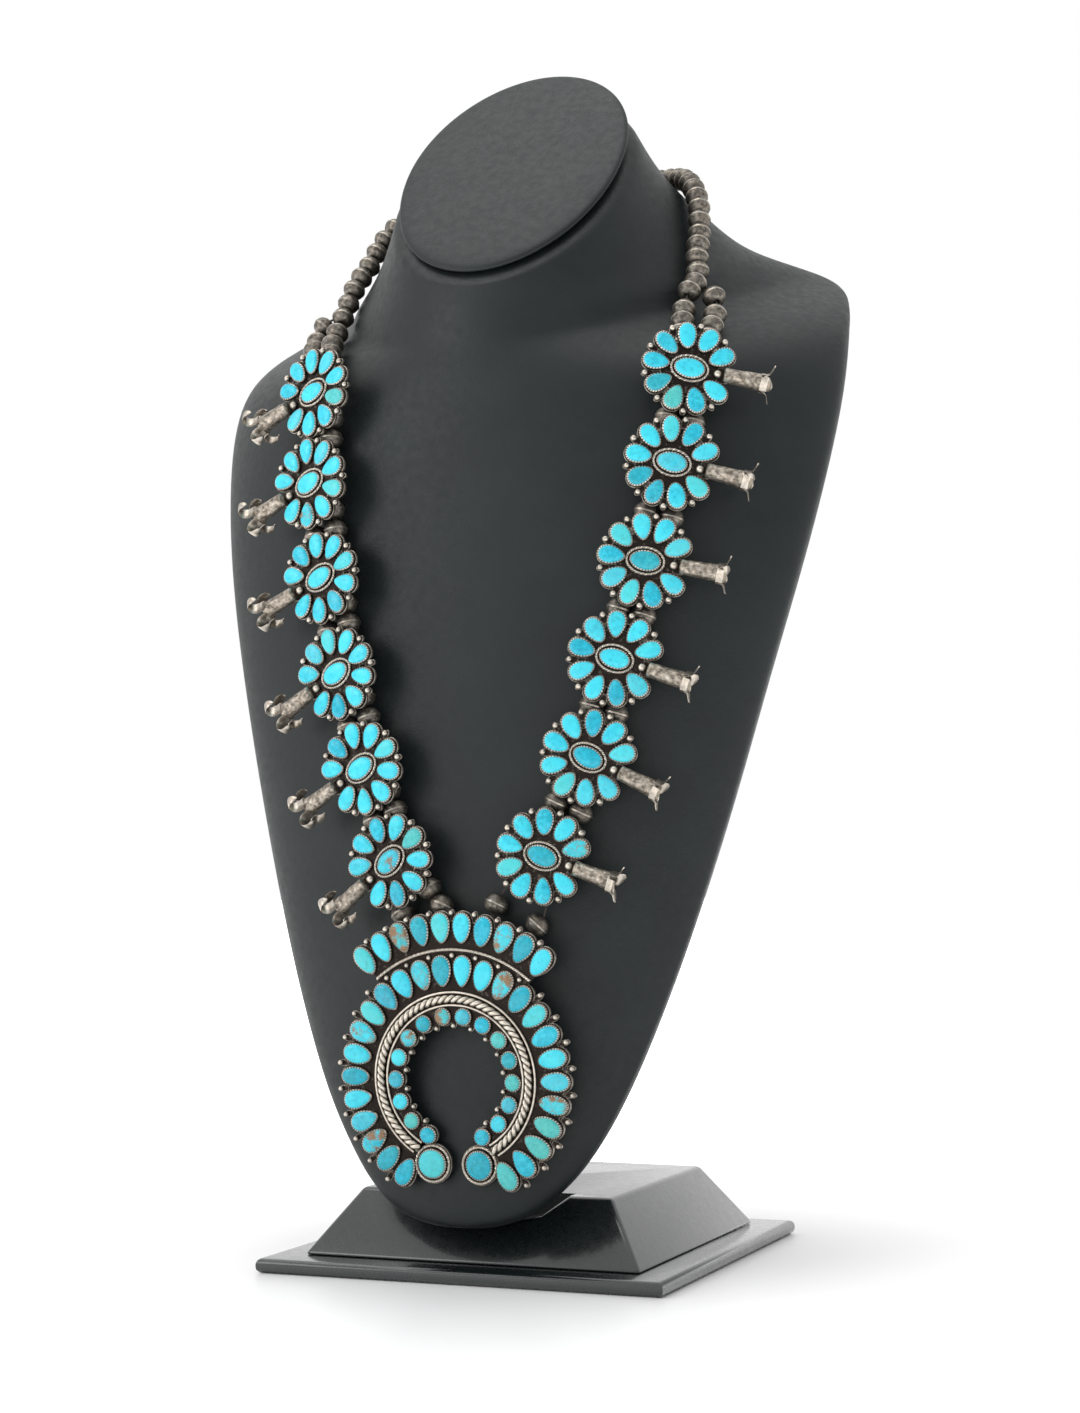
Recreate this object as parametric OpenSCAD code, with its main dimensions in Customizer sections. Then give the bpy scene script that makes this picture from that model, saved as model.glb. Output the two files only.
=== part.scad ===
// Squash blossom necklace on a neck bust that stands on a plinth and a slab.
// Millimetres, +Z up, front towards -Y, origin under the centre of the slab.

/* [Stand] */
// Side of the square slab
slab_side = 152.4; // [145:0.1:160]
// Thickness of the slab
slab_h = 5.2; // [4:0.1:8]
// Side of the plinth at its foot
block_foot = 127.4; // [120:0.1:135]
// Side of the plinth at its top
block_top = 95.3; // [90:0.1:100]
// Height of the plinth
block_h = 22.9; // [21:0.1:25]
// Space left between pieces that meet
gap = 0.3; // [0.2:0.05:0.5]

/* [Neck panel] */
// Height of the padded crown over the panel's widest line
cap_crown = 2; // [1:0.1:3]
// Depth of the panel under its widest line
cap_depth = 2.5; // [2:0.1:2.8]

/* [Beads] */
// Diameter of a bead at its seam
bead_d = 8.6; // [8:0.1:8.8]
// Length of a bead along its string
bead_len = 6.4; // [6:0.1:6.7]
// Distance between neighbouring beads of the nape string
bead_pitch = 6.8; // [6.7:0.05:7.2]
// Diameter of the hole through a bead
bead_hole = 2.1; // [1.6:0.1:2.2]
// Diameter of the thread
thread_d = 0.9; // [0.7:0.1:1]
// Mean radius of the ring where two strings become one
ring_r = 2.8; // [2.6:0.1:3]
// Wire diameter of that ring
ring_wire = 1.2; // [1:0.1:1.4]

/* [Blossoms] */
// Thickness of a blossom's back plate
plate_t = 1.2; // [1:0.1:1.4]
// Length of a petal's bezel
petal_len = 9.2; // [8.8:0.1:9.4]
// Width of a petal's bezel
petal_wid = 6.0; // [5.6:0.1:6.2]
// Radius at which the middle of a petal sits
petal_at = 11.6; // [11.4:0.1:11.8]
// Angle between the tube and the petals on both sides of it
petal_first = 31; // [30:0.5:33]
// Length of the blossom tube, measured from the middle of the plate
tube_end = 27; // [26:0.5:28]
// Outer radius of the tube where it leaves the plate
tube_r0 = 2.55; // [2.4:0.05:2.7]
// Outer radius of the tube at its mouth
tube_r1 = 3.1; // [3:0.05:3.3]
// Width of the drilled bar behind the plate
bar_w = 13.5; // [12.5:0.1:14]
// Distance of each bore from the middle of the bar
bar_bore_at = 4.6; // [4.5:0.1:4.8]
// Depth of the bores behind the plate
bar_bore_z = 4.8; // [4.7:0.1:4.9]
// Diameter of the bores
bar_bore_d = 1.6; // [1.4:0.1:1.8]

/* [Stones] */
// Wall thickness of every bezel
bezel_t = 0.45; // [0.4:0.05:0.5]
// Height of every bezel over its plate
bezel_h = 1.4; // [1.2:0.1:1.6]
// Height of a stone over its plate
stone_h = 2.2; // [2:0.1:2.5]
// Clear space between a stone and its setting
stone_clear = 0.1; // [0.1:0.01:0.15]

/* [Naja] */
// Thickness of the horseshoe plate
naja_t = 1.4; // [1.2:0.1:1.6]
// Radius of the inner row of round stones
inner_at = 21.8; // [21.6:0.1:22]
// Outer diameter of a round bezel of the inner row
inner_d = 5.9; // [5.6:0.1:6]
// Radius of the outer row of pear stones
rim_at = 37.3; // [37:0.1:37.5]
// Radius of the crest's row of pear stones
crest_at = 52; // [51.8:0.1:52.2]
// Length of a naja pear's bezel
drop_len = 10.6; // [10.2:0.1:10.8]
// Width of a naja pear's bezel
drop_wid = 6.3; // [6:0.1:6.5]
// Radius of the two large stones at the tips
tip_at = 30.3; // [30:0.1:30.6]
// Angle between straight down and each tip stone
tip_angle = 16.8; // [16.5:0.1:18]
// Distance of each bail from the middle of the naja
bail_x = 14; // [13:0.5:16]

/* [Hidden] */
// Cross sections of the bust, from its foot to the cut of the neck
FRONT_Y = 0; FRONT_Z = 1; BACK_Y = 2; BACK_Z = 3; HALF_W = 4; WIDEST = 5; F_POW = 6; B_POW = 7;
BUST = [
//  front y, front z, back y, back z, half width, widest line, front power, back power
    [-71,   18.5,  -46,   18.5,    8.5, 0.84, 1.60, 3.0],
    [-74.5, 22,    -44,   22,     22.5, 0.75, 1.60, 3.0],
    [-75,   31,    -42,   31,     34.5, 0.69, 1.60, 3.0],
    [-74,   43,    -41,   43.5,   45,   0.60, 1.60, 3.0],
    [-73,   66,    -38.5, 66.5,   58,   0.55, 1.45, 3.5],
    [-71,   105.5, -35,   105.5,  73.5, 0.43, 1.45, 3.5],
    [-68.5, 156,   -26,   155.5,  89,   0.38, 1.45, 3.5],
    [-66.5, 206.5, -16,   208,   102.5, 0.36, 1.45, 3.5],
    [-64,   252,   -2,    259,   114.5, 0.34, 1.45, 3.5],
    [-62,   289.5,  15,   308,   122,   0.31, 1.45, 3.5],
    [-60.5, 310.5,  35.5, 342.5, 121,   0.30, 1.45, 3.5],
    [-59,   321.5,  60,   362,   111,   0.15, 1.50, 3.2],
    [-57.5, 328.5,  74,   374,    94,   0.12, 1.60, 2.8],
    [-56.5, 335,    67.5, 387,    76.5, 0.34, 1.75, 2.5],
    [-56,   341.5,  53.5, 401.5,  63.5, 0.36, 1.90, 2.2],
    [-54.5, 348,    37.5, 420,    52.5, 0.44, 2.00, 2.0],
    [-54,   350.5,  20.8, 443.5,  44.8, 0.48, 2.00, 2.0]
];
// Outline of the padded panel that closes the neck
CAP_ROW = [-53.3, 355.8, 19, 446, 44, 0.48, 2, 2];
// Section of the panel: share of the outline, height over the widest line as a share
CAP_PROFILE = [[0.9, -1], [0.985, -0.85], [1, -0.45], [0.985, 0], [0.93, 0.3], [0.75, 0.7], [0.4, 0.95]];
BUST_SIDES = 40;
BUST_STEPS = 2;
// Rows of the bust that stand in the plinth's pocket
POCKET_ROWS = [0, 1, 2, 3];
pocket_back = -40.6;
pocket_len = 60;

// Middle of each blossom's back plate, its turn and lean, and the droop of its tube
POS = 0; TURN = 1; LEAN = 2; DROOP = 3;
RIGHT = [
//  place,                 turn, lean, droop
    [[80.2, -51.2, 314],     24, 8, 13],
    [[76, -58.3, 280.7],     21, 5, 15],
    [[68, -63.7, 246.8],     18, 3, 11],
    [[58.4, -68.3, 213.4],   14, 3, 19],
    [[49.6, -71.5, 179.9],   13, 1, 26],
    [[34.4, -75.6, 146.5],    9, 2, 20]
];
LEFT = [
    [[-60, -59.1, 314.5],   -17, 8, 23],
    [[-59.2, -63.9, 280.9], -15, 5, 24],
    [[-53, -67.8, 246.1],   -12, 4, 25],
    [[-45, -71.4, 211.4],   -11, 2, 31],
    [[-33.9, -74.5, 177.6],  -8, 2, 32],
    [[-21.7, -77.3, 145],    -6, 3, 40]
];
// Naja: middle of the horseshoe at the back of its plate, with its lean
NAJA = [[2.5, -77.5, 70.5], 0, -2, 0];

// Route of the nape string from the right ring to the middle of the nape
RING_AT = [71, -13, 353.7];
NAPE = [
    RING_AT, [70, -12, 358], [68.8, -7, 365.8], [67.3, 0, 373.2], [65.8, 4.5, 380], [64.2, 9, 386.2],
    [61.5, 14, 392], [57.8, 20.2, 397.3], [53.3, 27, 401.3], [48, 34, 404], [42, 40, 405.8],
    [35.5, 45, 407], [28, 49.3, 407.3], [20, 52.2, 407.2], [12, 54, 407], [0, 55.5, 406.5]
];
// Free beads of the double strings: between ring and first blossom, and by the naja
OUTER = 1; INNER = -1;
TOP_BEADS = [
//  side, strand, place
    [1, OUTER, [78.4, -17.4, 346]],
    [1, OUTER, [80.6, -23.2, 338.3]],
    [1, OUTER, [81.5, -29.4, 333.1]],
    [1, OUTER, [82.2, -35.2, 327.7]],
    [1, OUTER, [82.8, -40.2, 321.6]],
    [1, INNER, [70.3, -20.8, 348.3]],
    [1, INNER, [70.1, -26.3, 340.4]],
    [1, INNER, [71.6, -32.4, 335]],
    [1, INNER, [72.7, -38.2, 329.4]],
    [1, INNER, [73.6, -43.4, 323.4]],
    [-1, OUTER, [-79.5, -14, 348.5]],
    [-1, OUTER, [-80.2, -18, 342]],
    [-1, OUTER, [-76.6, -27.6, 336.8]],
    [-1, OUTER, [-72.4, -37, 330.6]],
    [-1, OUTER, [-68.8, -45.4, 323.8]],
    [-1, INNER, [-71.2, -19.4, 344.6]],
    [-1, INNER, [-66.4, -33, 337.2]],
    [-1, INNER, [-63.8, -39.8, 332.4]],
    [-1, INNER, [-60.4, -46.2, 327]],
    [-1, INNER, [-57.6, -51.4, 321.4]]
];
NAJA_BEADS = [
    [1, OUTER, [30.6, -72.4, 123.1]],
    [1, INNER, [16, -73.7, 130.2]],
    [-1, OUTER, [-19.3, -73.6, 126.7]],
    [-1, INNER, [-8.8, -73.9, 135.4]],
    [-1, INNER, [-4.1, -74.3, 129.8]]
];
// Half section of a bead, as shares of its greatest radius and of half its length
BEAD_PROFILE = [[0.42, 1], [0.77, 0.7], [0.953, 0.242], [1, 0.106]];

// The plate reaches this far round its settings, and notches narrower than twice the close fill up
plate_rim = 0.3;
plate_close = 0.8;
petals = 9;
petal_step = (360 - 2 * petal_first) / (petals - 1);
centre_len = 10.8;
centre_wid = 6.8;
// Flat ring round the oval: how far it reaches, how wide and how high it is
collar = 1.7;
collar_w = 0.9;
collar_h = 0.9;
ball_r = 1.2;
ball_at = 15.6;
// Larger ball where the tube starts
root_ball_r = 1.5;
root_ball_at = 9.9;
tube_axis = 2.5;
tube_root = 12;
tube_floor = 16;
tube_wall = 0.5;
// Radius and angle of the sepals' curl on each side of the necklace
CURL_R = [1.8, 2.2];
CURL_ANGLE = [110, 200];
sepal_w = 2.8;
bar_deep = 6;
bar_thick = 3;
solder = 0.2;
round_n = 32;
pear_n = 12;
oval_n = 16;
pear_k = 0.28;
dome_r = 12;
rim_n = 26;
rim_from = -59.5;
rim_step = 11.96;
crest_n = 10;
crest_half = 39.1;
inner_n = 16;
inner_from = -62.25;
inner_step = 20.3;
inner_ball_at = 18.4;
crest_ball_at = 57;
naja_ball_r = 1.1;
inner_ball_r = 1;
// Balls between the rim's stones, and those that the crest's plate pushes inwards
rim_ball_at = 43.9;
under_crest_at = 42.4;
// Radii of the two bands of the plate
band_from = 19.5;
band_to = 40;
crest_to = 54;
tip_d = 9.6;
tip_collar = 1.4;
tip_ring = 1.3;
tip_wire = 1.1;
bail_y = crest_at - 1;
bail_r = 2.6;
bail_wire = 1.3;
bail_pass = [2, 0.55, -1.15];
// Wires on the naja's face, each bent evenly round its top
WIRE_R = 0; WIRE_D = 1; WIRE_REACH = 2;
WIRES = [
//  radius, diameter, reach to each side
    [25.4,  1.1,      150],
    [27.6,  2.8,      150],
    [29.8,  1.1,      148],
    [44.4,  1.2,      40]
];
// Start of the beads on the nape string, and space kept where a thread meets metal
nape_start = 7;
tie_gap = 0.3;
// How far outside a bead its thread may bend
bead_out = 0.1;
clasp_half = 15;
clasp_tongue = [16, 5, 1.4];
clasp_eye = 1.9;
clasp_lap = 0.6;
clasp_pos = [0, 55.5, 406.5];
clasp_tilt = -49;

function unit(v) = v / norm(v);
function mid(a, b) = (a + b) / 2;
function flip(p) = [-p.x, p.y, p.z];

// Smooth blend between the middle two of four values
function blend(p, q, r, s, t) =
    0.5 * (2 * q + (r - p) * t + (2 * p - 5 * q + 4 * r - s) * t * t + (3 * q - p - 3 * r + s) * t * t * t);

// One closed ring of the bust in its own tilted plane
function ring(row, sides) =
    let (dy = row[BACK_Y] - row[FRONT_Y], dz = row[BACK_Z] - row[FRONT_Z], d = norm([dy, dz]))
    let (y = row[BACK_Y] - row[WIDEST] * dy, z = row[BACK_Z] - row[WIDEST] * dz)
    [for (i = [0:sides - 1])
        let (t = 360 * i / sides, f = sin(t))
        let (s = f >= 0 ? -(1 - row[WIDEST]) * pow(f, 2 / row[F_POW]) : row[WIDEST] * pow(-f, 2 / row[B_POW]))
        [row[HALF_W] * cos(t), y + s * dy, z + s * dz]];

function rows_between(table, steps) =
    let (n = len(table))
    [for (k = [0:(n - 1) * steps])
        let (i = min(floor(k / steps), n - 2), t = k / steps - i)
        blend(table[max(i - 1, 0)], table[i], table[i + 1], table[min(i + 2, n - 1)], t)];

function centre_of(row) = [0, mid(row[FRONT_Y], row[BACK_Y]), mid(row[FRONT_Z], row[BACK_Z])];

// Closed solid through rings of equal count, from the lowest to the highest
module loft(rings, low, high) {
    sides = len(rings[0]);
    last = (len(rings) - 1) * sides;
    points = concat([for (r = rings) each r], [low, high]);
    walls = [for (k = [0:len(rings) - 2], i = [0:sides - 1])
        let (a = k * sides + i, b = k * sides + (i + 1) % sides)
        each [[a, b, b + sides], [a, b + sides, a + sides]]];
    foot = [for (i = [0:sides - 1]) [last + sides, (i + 1) % sides, i]];
    head = [for (i = [0:sides - 1]) [last + sides + 1, last + i, last + (i + 1) % sides]];
    polyhedron(points = points, faces = concat(walls, foot, head));
}

// Thread along a route: five-sided rings square to the route
module tube_along(route, d, sides = 5) {
    n = len(route);
    points = [for (i = [0:n - 1])
        let (a = route[max(i - 1, 0)], b = route[min(i + 1, n - 1)])
        let (t = unit((i > 0 ? unit(route[i] - a) : [0, 0, 0]) + (i < n - 1 ? unit(b - route[i]) : [0, 0, 0])))
        let (u = unit(cross(t, [0, 1, 0])), v = cross(t, u))
        for (k = [0:sides - 1]) route[i] + d / 2 * (cos(360 * k / sides) * u + sin(360 * k / sides) * v)];
    walls = [for (i = [0:n - 2], k = [0:sides - 1])
        let (a = i * sides + k, b = i * sides + (k + 1) % sides)
        each [[a, a + sides, b + sides], [a, b + sides, b]]];
    ends = [[for (k = [0:sides - 1]) k], [for (k = [sides - 1:-1:0]) (n - 1) * sides + k]];
    polyhedron(points = points, faces = concat(walls, ends));
}

// Places and axes of a blossom or the naja: x to the viewer's right, y up, z outwards
function axis_x(b) = [cos(b[TURN]), sin(b[TURN]), 0];
function axis_z(b) = [sin(b[TURN]) * cos(b[LEAN]), -cos(b[TURN]) * cos(b[LEAN]), sin(b[LEAN])];
function axis_y(b) = cross(axis_z(b), axis_x(b));
function at(b, p) = b[POS] + p.x * axis_x(b) + p.y * axis_y(b) + p.z * axis_z(b);
module place(b) {
    translate(b[POS]) rotate([90 - b[LEAN], 0, b[TURN]]) children();
}

// How far from the bar's middle the thread leaves its bores
bore_reach = 2.2;
// How far the first pair of gap beads is lifted off the shoulder
gap_lift = 0.4;
// Turn of a blossom's bar, so that its bores point along the string
function bar_turn(row, i) =
    let (u = row[max(i - 1, 0)][POS] - row[min(i + 1, 5)][POS])
    atan2(-u * axis_x(row[i]), u * axis_y(row[i]));
function bore(row, i, side, strand, along) =
    let (a = bar_turn(row, i), x = side * strand * bar_bore_at)
    at(row[i], [x * cos(a) - along * sin(a), x * sin(a) + along * cos(a), -bar_bore_z]);
// Where a thread turns behind the naja, beyond the eye of its bail
function bail(side, strand) =
    at(NAJA, [side * (bail_x + bail_pass.x), bail_y - strand * bail_pass.y, bail_pass.z]);

// Beads of one strand on one side, from ring to naja, each as its middle and direction
row_of = function (side) side > 0 ? RIGHT : LEFT;
function ring_at(side) = side > 0 ? RING_AT : flip(RING_AT);
function picked(table, side, strand) = [for (b = table) if (b[0] == side && b[1] == strand) b[2]];
function facing(p, from, to) = [p, unit(to - from)];
function top_beads(side, strand) =
    let (p = picked(TOP_BEADS, side, strand), n = len(p), to = bore(row_of(side), 0, side, strand, bore_reach))
    [for (i = [0:n - 1]) facing(p[i], i > 0 ? p[i - 1] : ring_at(side), i < n - 1 ? p[i + 1] : to)];
function gap_bead(side, strand, i) =
    let (a = bore(row_of(side), i, side, strand, -bore_reach))
    let (b = bore(row_of(side), i + 1, side, strand, bore_reach))
    facing(mid(a, b) + (i == 0 ? gap_lift : 0) * axis_z(row_of(side)[i]), a, b);
function naja_beads(side, strand) =
    let (p = picked(NAJA_BEADS, side, strand), n = len(p))
    let (from = bore(row_of(side), 5, side, strand, -bore_reach), to = bail(side, strand))
    [for (i = [0:n - 1]) facing(p[i], i > 0 ? p[i - 1] : from, i < n - 1 ? p[i + 1] : to)];
function strand_beads(side, strand) = concat(
    top_beads(side, strand),
    [for (i = [0:4]) gap_bead(side, strand, i)],
    naja_beads(side, strand));
function through(b) = [b[0] - b[1] * (bead_len / 2 + bead_out), b[0] + b[1] * (bead_len / 2 + bead_out)];
function ring_tie(side, strand) =
    let (p = picked(TOP_BEADS, side, strand)[0])
    ring_at(side) + unit(p - ring_at(side)) * (ring_r + ring_wire / 2 + tie_gap);
function half_route(side, strand) =
    let (row = row_of(side))
    concat(
        [ring_tie(side, strand)],
        [for (b = top_beads(side, strand)) each through(b)],
        [for (i = [0:5]) each concat(
            [bore(row, i, side, strand, bore_reach), bore(row, i, side, strand, -bore_reach)],
            i < 5 ? through(gap_bead(side, strand, i)) : [])],
        [for (b = naja_beads(side, strand)) each through(b)],
        [bail(side, strand)]);
function backwards(list) = [for (i = [len(list) - 1:-1:0]) list[i]];
function strand_route(strand) = concat(half_route(-1, strand), backwards(half_route(1, strand)));

// Arc length along the nape route, and the point at a given length
function lengths(route, i = 0, sum = 0) =
    i >= len(route) - 1 ? [sum] : concat([sum], lengths(route, i + 1, sum + norm(route[i + 1] - route[i])));
NAPE_LEN = lengths(NAPE);
nape_total = NAPE_LEN[len(NAPE_LEN) - 1];
function nape_point(s) =
    let (i = max([for (k = [0:len(NAPE) - 2]) NAPE_LEN[k] <= s ? k : 0]))
    NAPE[i] + (NAPE[i + 1] - NAPE[i]) * (s - NAPE_LEN[i]) / (NAPE_LEN[i + 1] - NAPE_LEN[i]);
nape_n = floor((nape_total - nape_start - clasp_half) / bead_pitch);
nape_gap = (nape_total - nape_start - clasp_half) / nape_n;
function nape_bead(i) =
    let (s = nape_start + (i + 0.5) * nape_gap)
    facing(nape_point(s), nape_point(s - bead_len / 2), nape_point(s + bead_len / 2));
nape_half = concat(
    [RING_AT + unit(NAPE[1] - RING_AT) * (ring_r + ring_wire / 2 + tie_gap)],
    [for (i = [0:nape_n - 1]) each through(nape_bead(i))],
    [clasp_pos + [clasp_tongue.x / 2 + clasp_eye * 2 - clasp_lap + tie_gap, 0, 0]]);

// Matrix that stands the z axis along a direction
function along_z(p, d) =
    let (x = unit(cross([0.3, 1, 0.2], d)), y = cross(d, x))
    [[x.x, y.x, d.x, p.x], [x.y, y.y, d.y, p.y], [x.z, y.z, d.z, p.z], [0, 0, 0, 1]];

module bead(b) {
    lower = [for (i = [len(BEAD_PROFILE) - 1:-1:0]) [BEAD_PROFILE[i].x, -BEAD_PROFILE[i].y]];
    body = [for (p = concat(BEAD_PROFILE, lower)) [p.x * bead_d / 2, p.y * bead_len / 2]];
    bore_line = [[bead_hole / 2, -bead_len / 2], [bead_hole / 2, bead_len / 2]];
    multmatrix(along_z(b[0], b[1])) rotate_extrude($fn = round_n) polygon(concat(bore_line, body));
}

// Outline of a pear, its big end towards +x
function pear(length, width) = [for (i = [0:pear_n - 1])
    let (t = 360 * i / pear_n)
    [length / 2 * cos(t), width / 2 * sin(t) * (1 + pear_k * cos(t))]];
function oval(length, width) = [for (i = [0:oval_n - 1])
    [length / 2 * cos(360 * i / oval_n), width / 2 * sin(360 * i / oval_n)]];

// Setting and stone on a plate, for an outline given as pear or oval
module outline_2d(is_pear, length, width, grow = 0) {
    polygon(is_pear ? pear(length + 2 * grow, width + 2 * grow) : oval(length + 2 * grow, width + 2 * grow));
}
module bezel(is_pear, length, width, plate) {
    translate([0, 0, plate - solder]) linear_extrude(bezel_h + solder) difference() {
        outline_2d(is_pear, length, width);
        outline_2d(is_pear, length, width, -bezel_t);
    }
}
module stone(is_pear, length, width, plate) {
    top = plate + stone_h;
    intersection() {
        translate([0, 0, plate + stone_clear])
            linear_extrude(stone_h) outline_2d(is_pear, length, width, -bezel_t - stone_clear);
        translate([0, 0, top - dome_r]) sphere(dome_r, $fn = 64);
    }
}
module ball(r, at_r, angle, plate) {
    rotate(angle) translate([at_r, 0, plate + 0.4 * r]) sphere(r, $fn = 24);
}

// Settings of a blossom: nine petals round an oval
function petal_angle(i) = petal_first + petal_step * i;
module round_petals() {
    for (i = [0:petals - 1]) rotate(petal_angle(i)) translate([petal_at, 0, 0]) children();
}

module blossom_plate() {
    linear_extrude(plate_t) offset(delta = -plate_close) offset(delta = plate_close + plate_rim) {
        circle(d = 2 * petal_at - 4, $fn = 36);
        round_petals() outline_2d(true, petal_len, petal_wid);
        for (i = [0:petals - 2])
            rotate(petal_angle(i + 0.5)) translate([ball_at, 0]) circle(ball_r, $fn = 8);
        translate([petal_at, 0]) square([5 * ball_r, 2 * tube_r0], center = true);
    }
}

// Thin strip at the tube's mouth that bends away from the axis
module sepal(bend_r, bend_angle) {
    translate([tube_r1 - tube_wall / 2 + bend_r, 0, tube_end - 1]) rotate([90, 0, 0])
        rotate(180 - bend_angle) rotate_extrude(angle = bend_angle, $fn = round_n)
            translate([bend_r - tube_wall / 2, -sepal_w / 2]) square([tube_wall, sepal_w]);
}

module tube(side) {
    curl = side > 0 ? 0 : 1;
    translate([0, 0, tube_axis]) rotate([0, 90, 0]) {
        rotate_extrude($fn = round_n) polygon([
            [0, tube_root], [tube_r0, tube_root], [tube_r1, tube_end], [tube_r1 - tube_wall, tube_end],
            [tube_r0 - tube_wall, tube_floor], [0, tube_floor]
        ]);
        for (a = [0:90:270]) rotate(a) sepal(CURL_R[curl], CURL_ANGLE[curl]);
    }
}

module bar(turn) {
    rotate(turn) difference() {
        translate([-bar_w / 2, -bar_thick / 2, -bar_deep]) cube([bar_w, bar_thick, bar_deep + solder]);
        for (s = [-1, 1]) translate([s * bar_bore_at, 0, -bar_bore_z]) rotate([90, 0, 0])
            cylinder(d = bar_bore_d, h = 2 * bar_thick, center = true, $fn = 24);
    }
}

function tube_turn(row, i, side) = side > 0 ? -row[i][DROOP] : 180 + row[i][DROOP];

module blossom(row, i, side) {
    color("silver") place(row[i]) {
        rotate(tube_turn(row, i, side)) {
            blossom_plate();
            round_petals() bezel(true, petal_len, petal_wid, plate_t);
            bezel(false, centre_len, centre_wid, plate_t);
            translate([0, 0, plate_t - solder]) linear_extrude(collar_h + solder) difference() {
                outline_2d(false, centre_len, centre_wid, collar);
                outline_2d(false, centre_len, centre_wid, collar - collar_w);
            }
            for (k = [0:petals - 2]) ball(ball_r, ball_at, petal_angle(k + 0.5), plate_t);
            ball(root_ball_r, root_ball_at, 0, plate_t);
            tube(side);
        }
        bar(bar_turn(row, i));
    }
}

module blossom_stones(row, i, side) {
    color("turquoise") place(row[i]) rotate(tube_turn(row, i, side)) {
        round_petals() stone(true, petal_len, petal_wid, plate_t);
        stone(false, centre_len, centre_wid, plate_t);
    }
}

// Rows of the naja's settings
module crest_row() {
    for (i = [0:crest_n - 1]) rotate(crest_angle(i)) translate([crest_at, 0, 0]) children();
}
module rim_row() {
    for (i = [0:rim_n - 1]) rotate(rim_angle(i)) translate([rim_at, 0, 0]) children();
}
module inner_row() {
    for (i = [0:inner_n - 1]) rotate(inner_angle(i)) translate([inner_at, 0, 0]) children();
}
module tips() {
    for (s = [-1, 1]) rotate(-90 + s * tip_angle) translate([tip_at, 0, 0]) children();
}
function crest_angle(i) = 90 - crest_half + 2 * crest_half * i / (crest_n - 1);
function rim_angle(i) = rim_from + rim_step * i;
function inner_angle(i) = inner_from + inner_step * i;
// The angle and the radius at which the ball after each rim stone sits
function rim_ball(i) =
    let (a = rim_angle(i + 0.5))
    [a, abs(a - 90) < crest_half + 2 ? under_crest_at : rim_ball_at];
// Place for a ball on the plate, with a neck that joins it to the plate
module pad(at_r, neck) {
    translate([at_r, 0]) circle(naja_ball_r, $fn = 8);
    translate([at_r + neck / 2, 0]) square([abs(neck), 1.5 * naja_ball_r], center = true);
}
module sector(r0, r1, from, to) {
    step = 6;
    n = ceil((to - from) / step);
    polygon(concat(
        [for (i = [0:n]) let (a = from + (to - from) * i / n) r1 * [cos(a), sin(a)]],
        [for (i = [n:-1:0]) let (a = from + (to - from) * i / n) r0 * [cos(a), sin(a)]]));
}

module naja_plate() {
    linear_extrude(naja_t) offset(delta = -plate_close) offset(delta = plate_close + plate_rim) {
        sector(band_from, band_to, inner_from, 180 - inner_from);
        sector(band_to, crest_to, 90 - crest_half - 1, 90 + crest_half + 1);
        crest_row() outline_2d(true, drop_len, drop_wid);
        rim_row() outline_2d(true, drop_len, drop_wid);
        inner_row() circle(d = inner_d, $fn = 12);
        tips() circle(d = tip_d + 2 * bezel_t + 2 * tip_collar, $fn = 24);
        for (i = [0:inner_n - 2]) rotate(inner_angle(i + 0.5)) pad(inner_ball_at, 1.5);
        for (i = [0:rim_n - 2]) rotate(rim_ball(i)[0]) pad(rim_ball(i)[1], -5);
        for (i = [0:crest_n - 2]) rotate(crest_angle(i + 0.5)) pad(crest_ball_at, -4);
    }
}

// Wire bent round the naja's centre and soldered on its face
module wire(w) {
    reach = w[WIRE_REACH];
    translate([0, 0, naja_t + 0.35 * w[WIRE_D]]) rotate(90 - reach)
        rotate_extrude(angle = 2 * reach, $fn = 96) translate([w[WIRE_R], 0]) circle(d = w[WIRE_D], $fn = 16);
}

module naja_bail(side) {
    translate([side * bail_x, bail_y, 0]) rotate([0, 90, 0])
        rotate(-100) rotate_extrude(angle = 200, $fn = round_n)
            translate([bail_r, 0]) circle(d = bail_wire, $fn = 16);
}

module naja() {
    color("silver") place(NAJA) {
        naja_plate();
        crest_row() bezel(true, drop_len, drop_wid, naja_t);
        rim_row() bezel(true, drop_len, drop_wid, naja_t);
        inner_row() bezel(false, inner_d, inner_d, naja_t);
        tips() {
            bezel(false, tip_d + 2 * bezel_t, tip_d + 2 * bezel_t, naja_t);
            translate([0, 0, naja_t + 0.3]) rotate_extrude($fn = 48)
                translate([tip_d / 2 + tip_ring, 0]) circle(d = tip_wire, $fn = 16);
        }
        for (w = WIRES) wire(w);
        for (i = [0:inner_n - 2]) ball(inner_ball_r, inner_ball_at, inner_angle(i + 0.5), naja_t);
        for (i = [0:rim_n - 2]) ball(naja_ball_r, rim_ball(i)[1], rim_ball(i)[0], naja_t);
        for (i = [0:crest_n - 2]) ball(naja_ball_r, crest_ball_at, crest_angle(i + 0.5), naja_t);
        for (s = [-1, 1]) naja_bail(s);
    }
}
module naja_crest_stones() {
    color("turquoise") place(NAJA) crest_row() stone(true, drop_len, drop_wid, naja_t);
}
module naja_rim_stones() {
    color("turquoise") place(NAJA) rim_row() stone(true, drop_len, drop_wid, naja_t);
}
module naja_inner_stones() {
    color("turquoise") place(NAJA) {
        inner_row() stone(false, inner_d, inner_d, naja_t);
        tips() stone(false, tip_d + 2 * bezel_t, tip_d + 2 * bezel_t, naja_t);
    }
}

module slab() {
    color("#232427") translate([-slab_side / 2, -slab_side / 2, 0]) cube([slab_side, slab_side, slab_h]);
}

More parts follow.
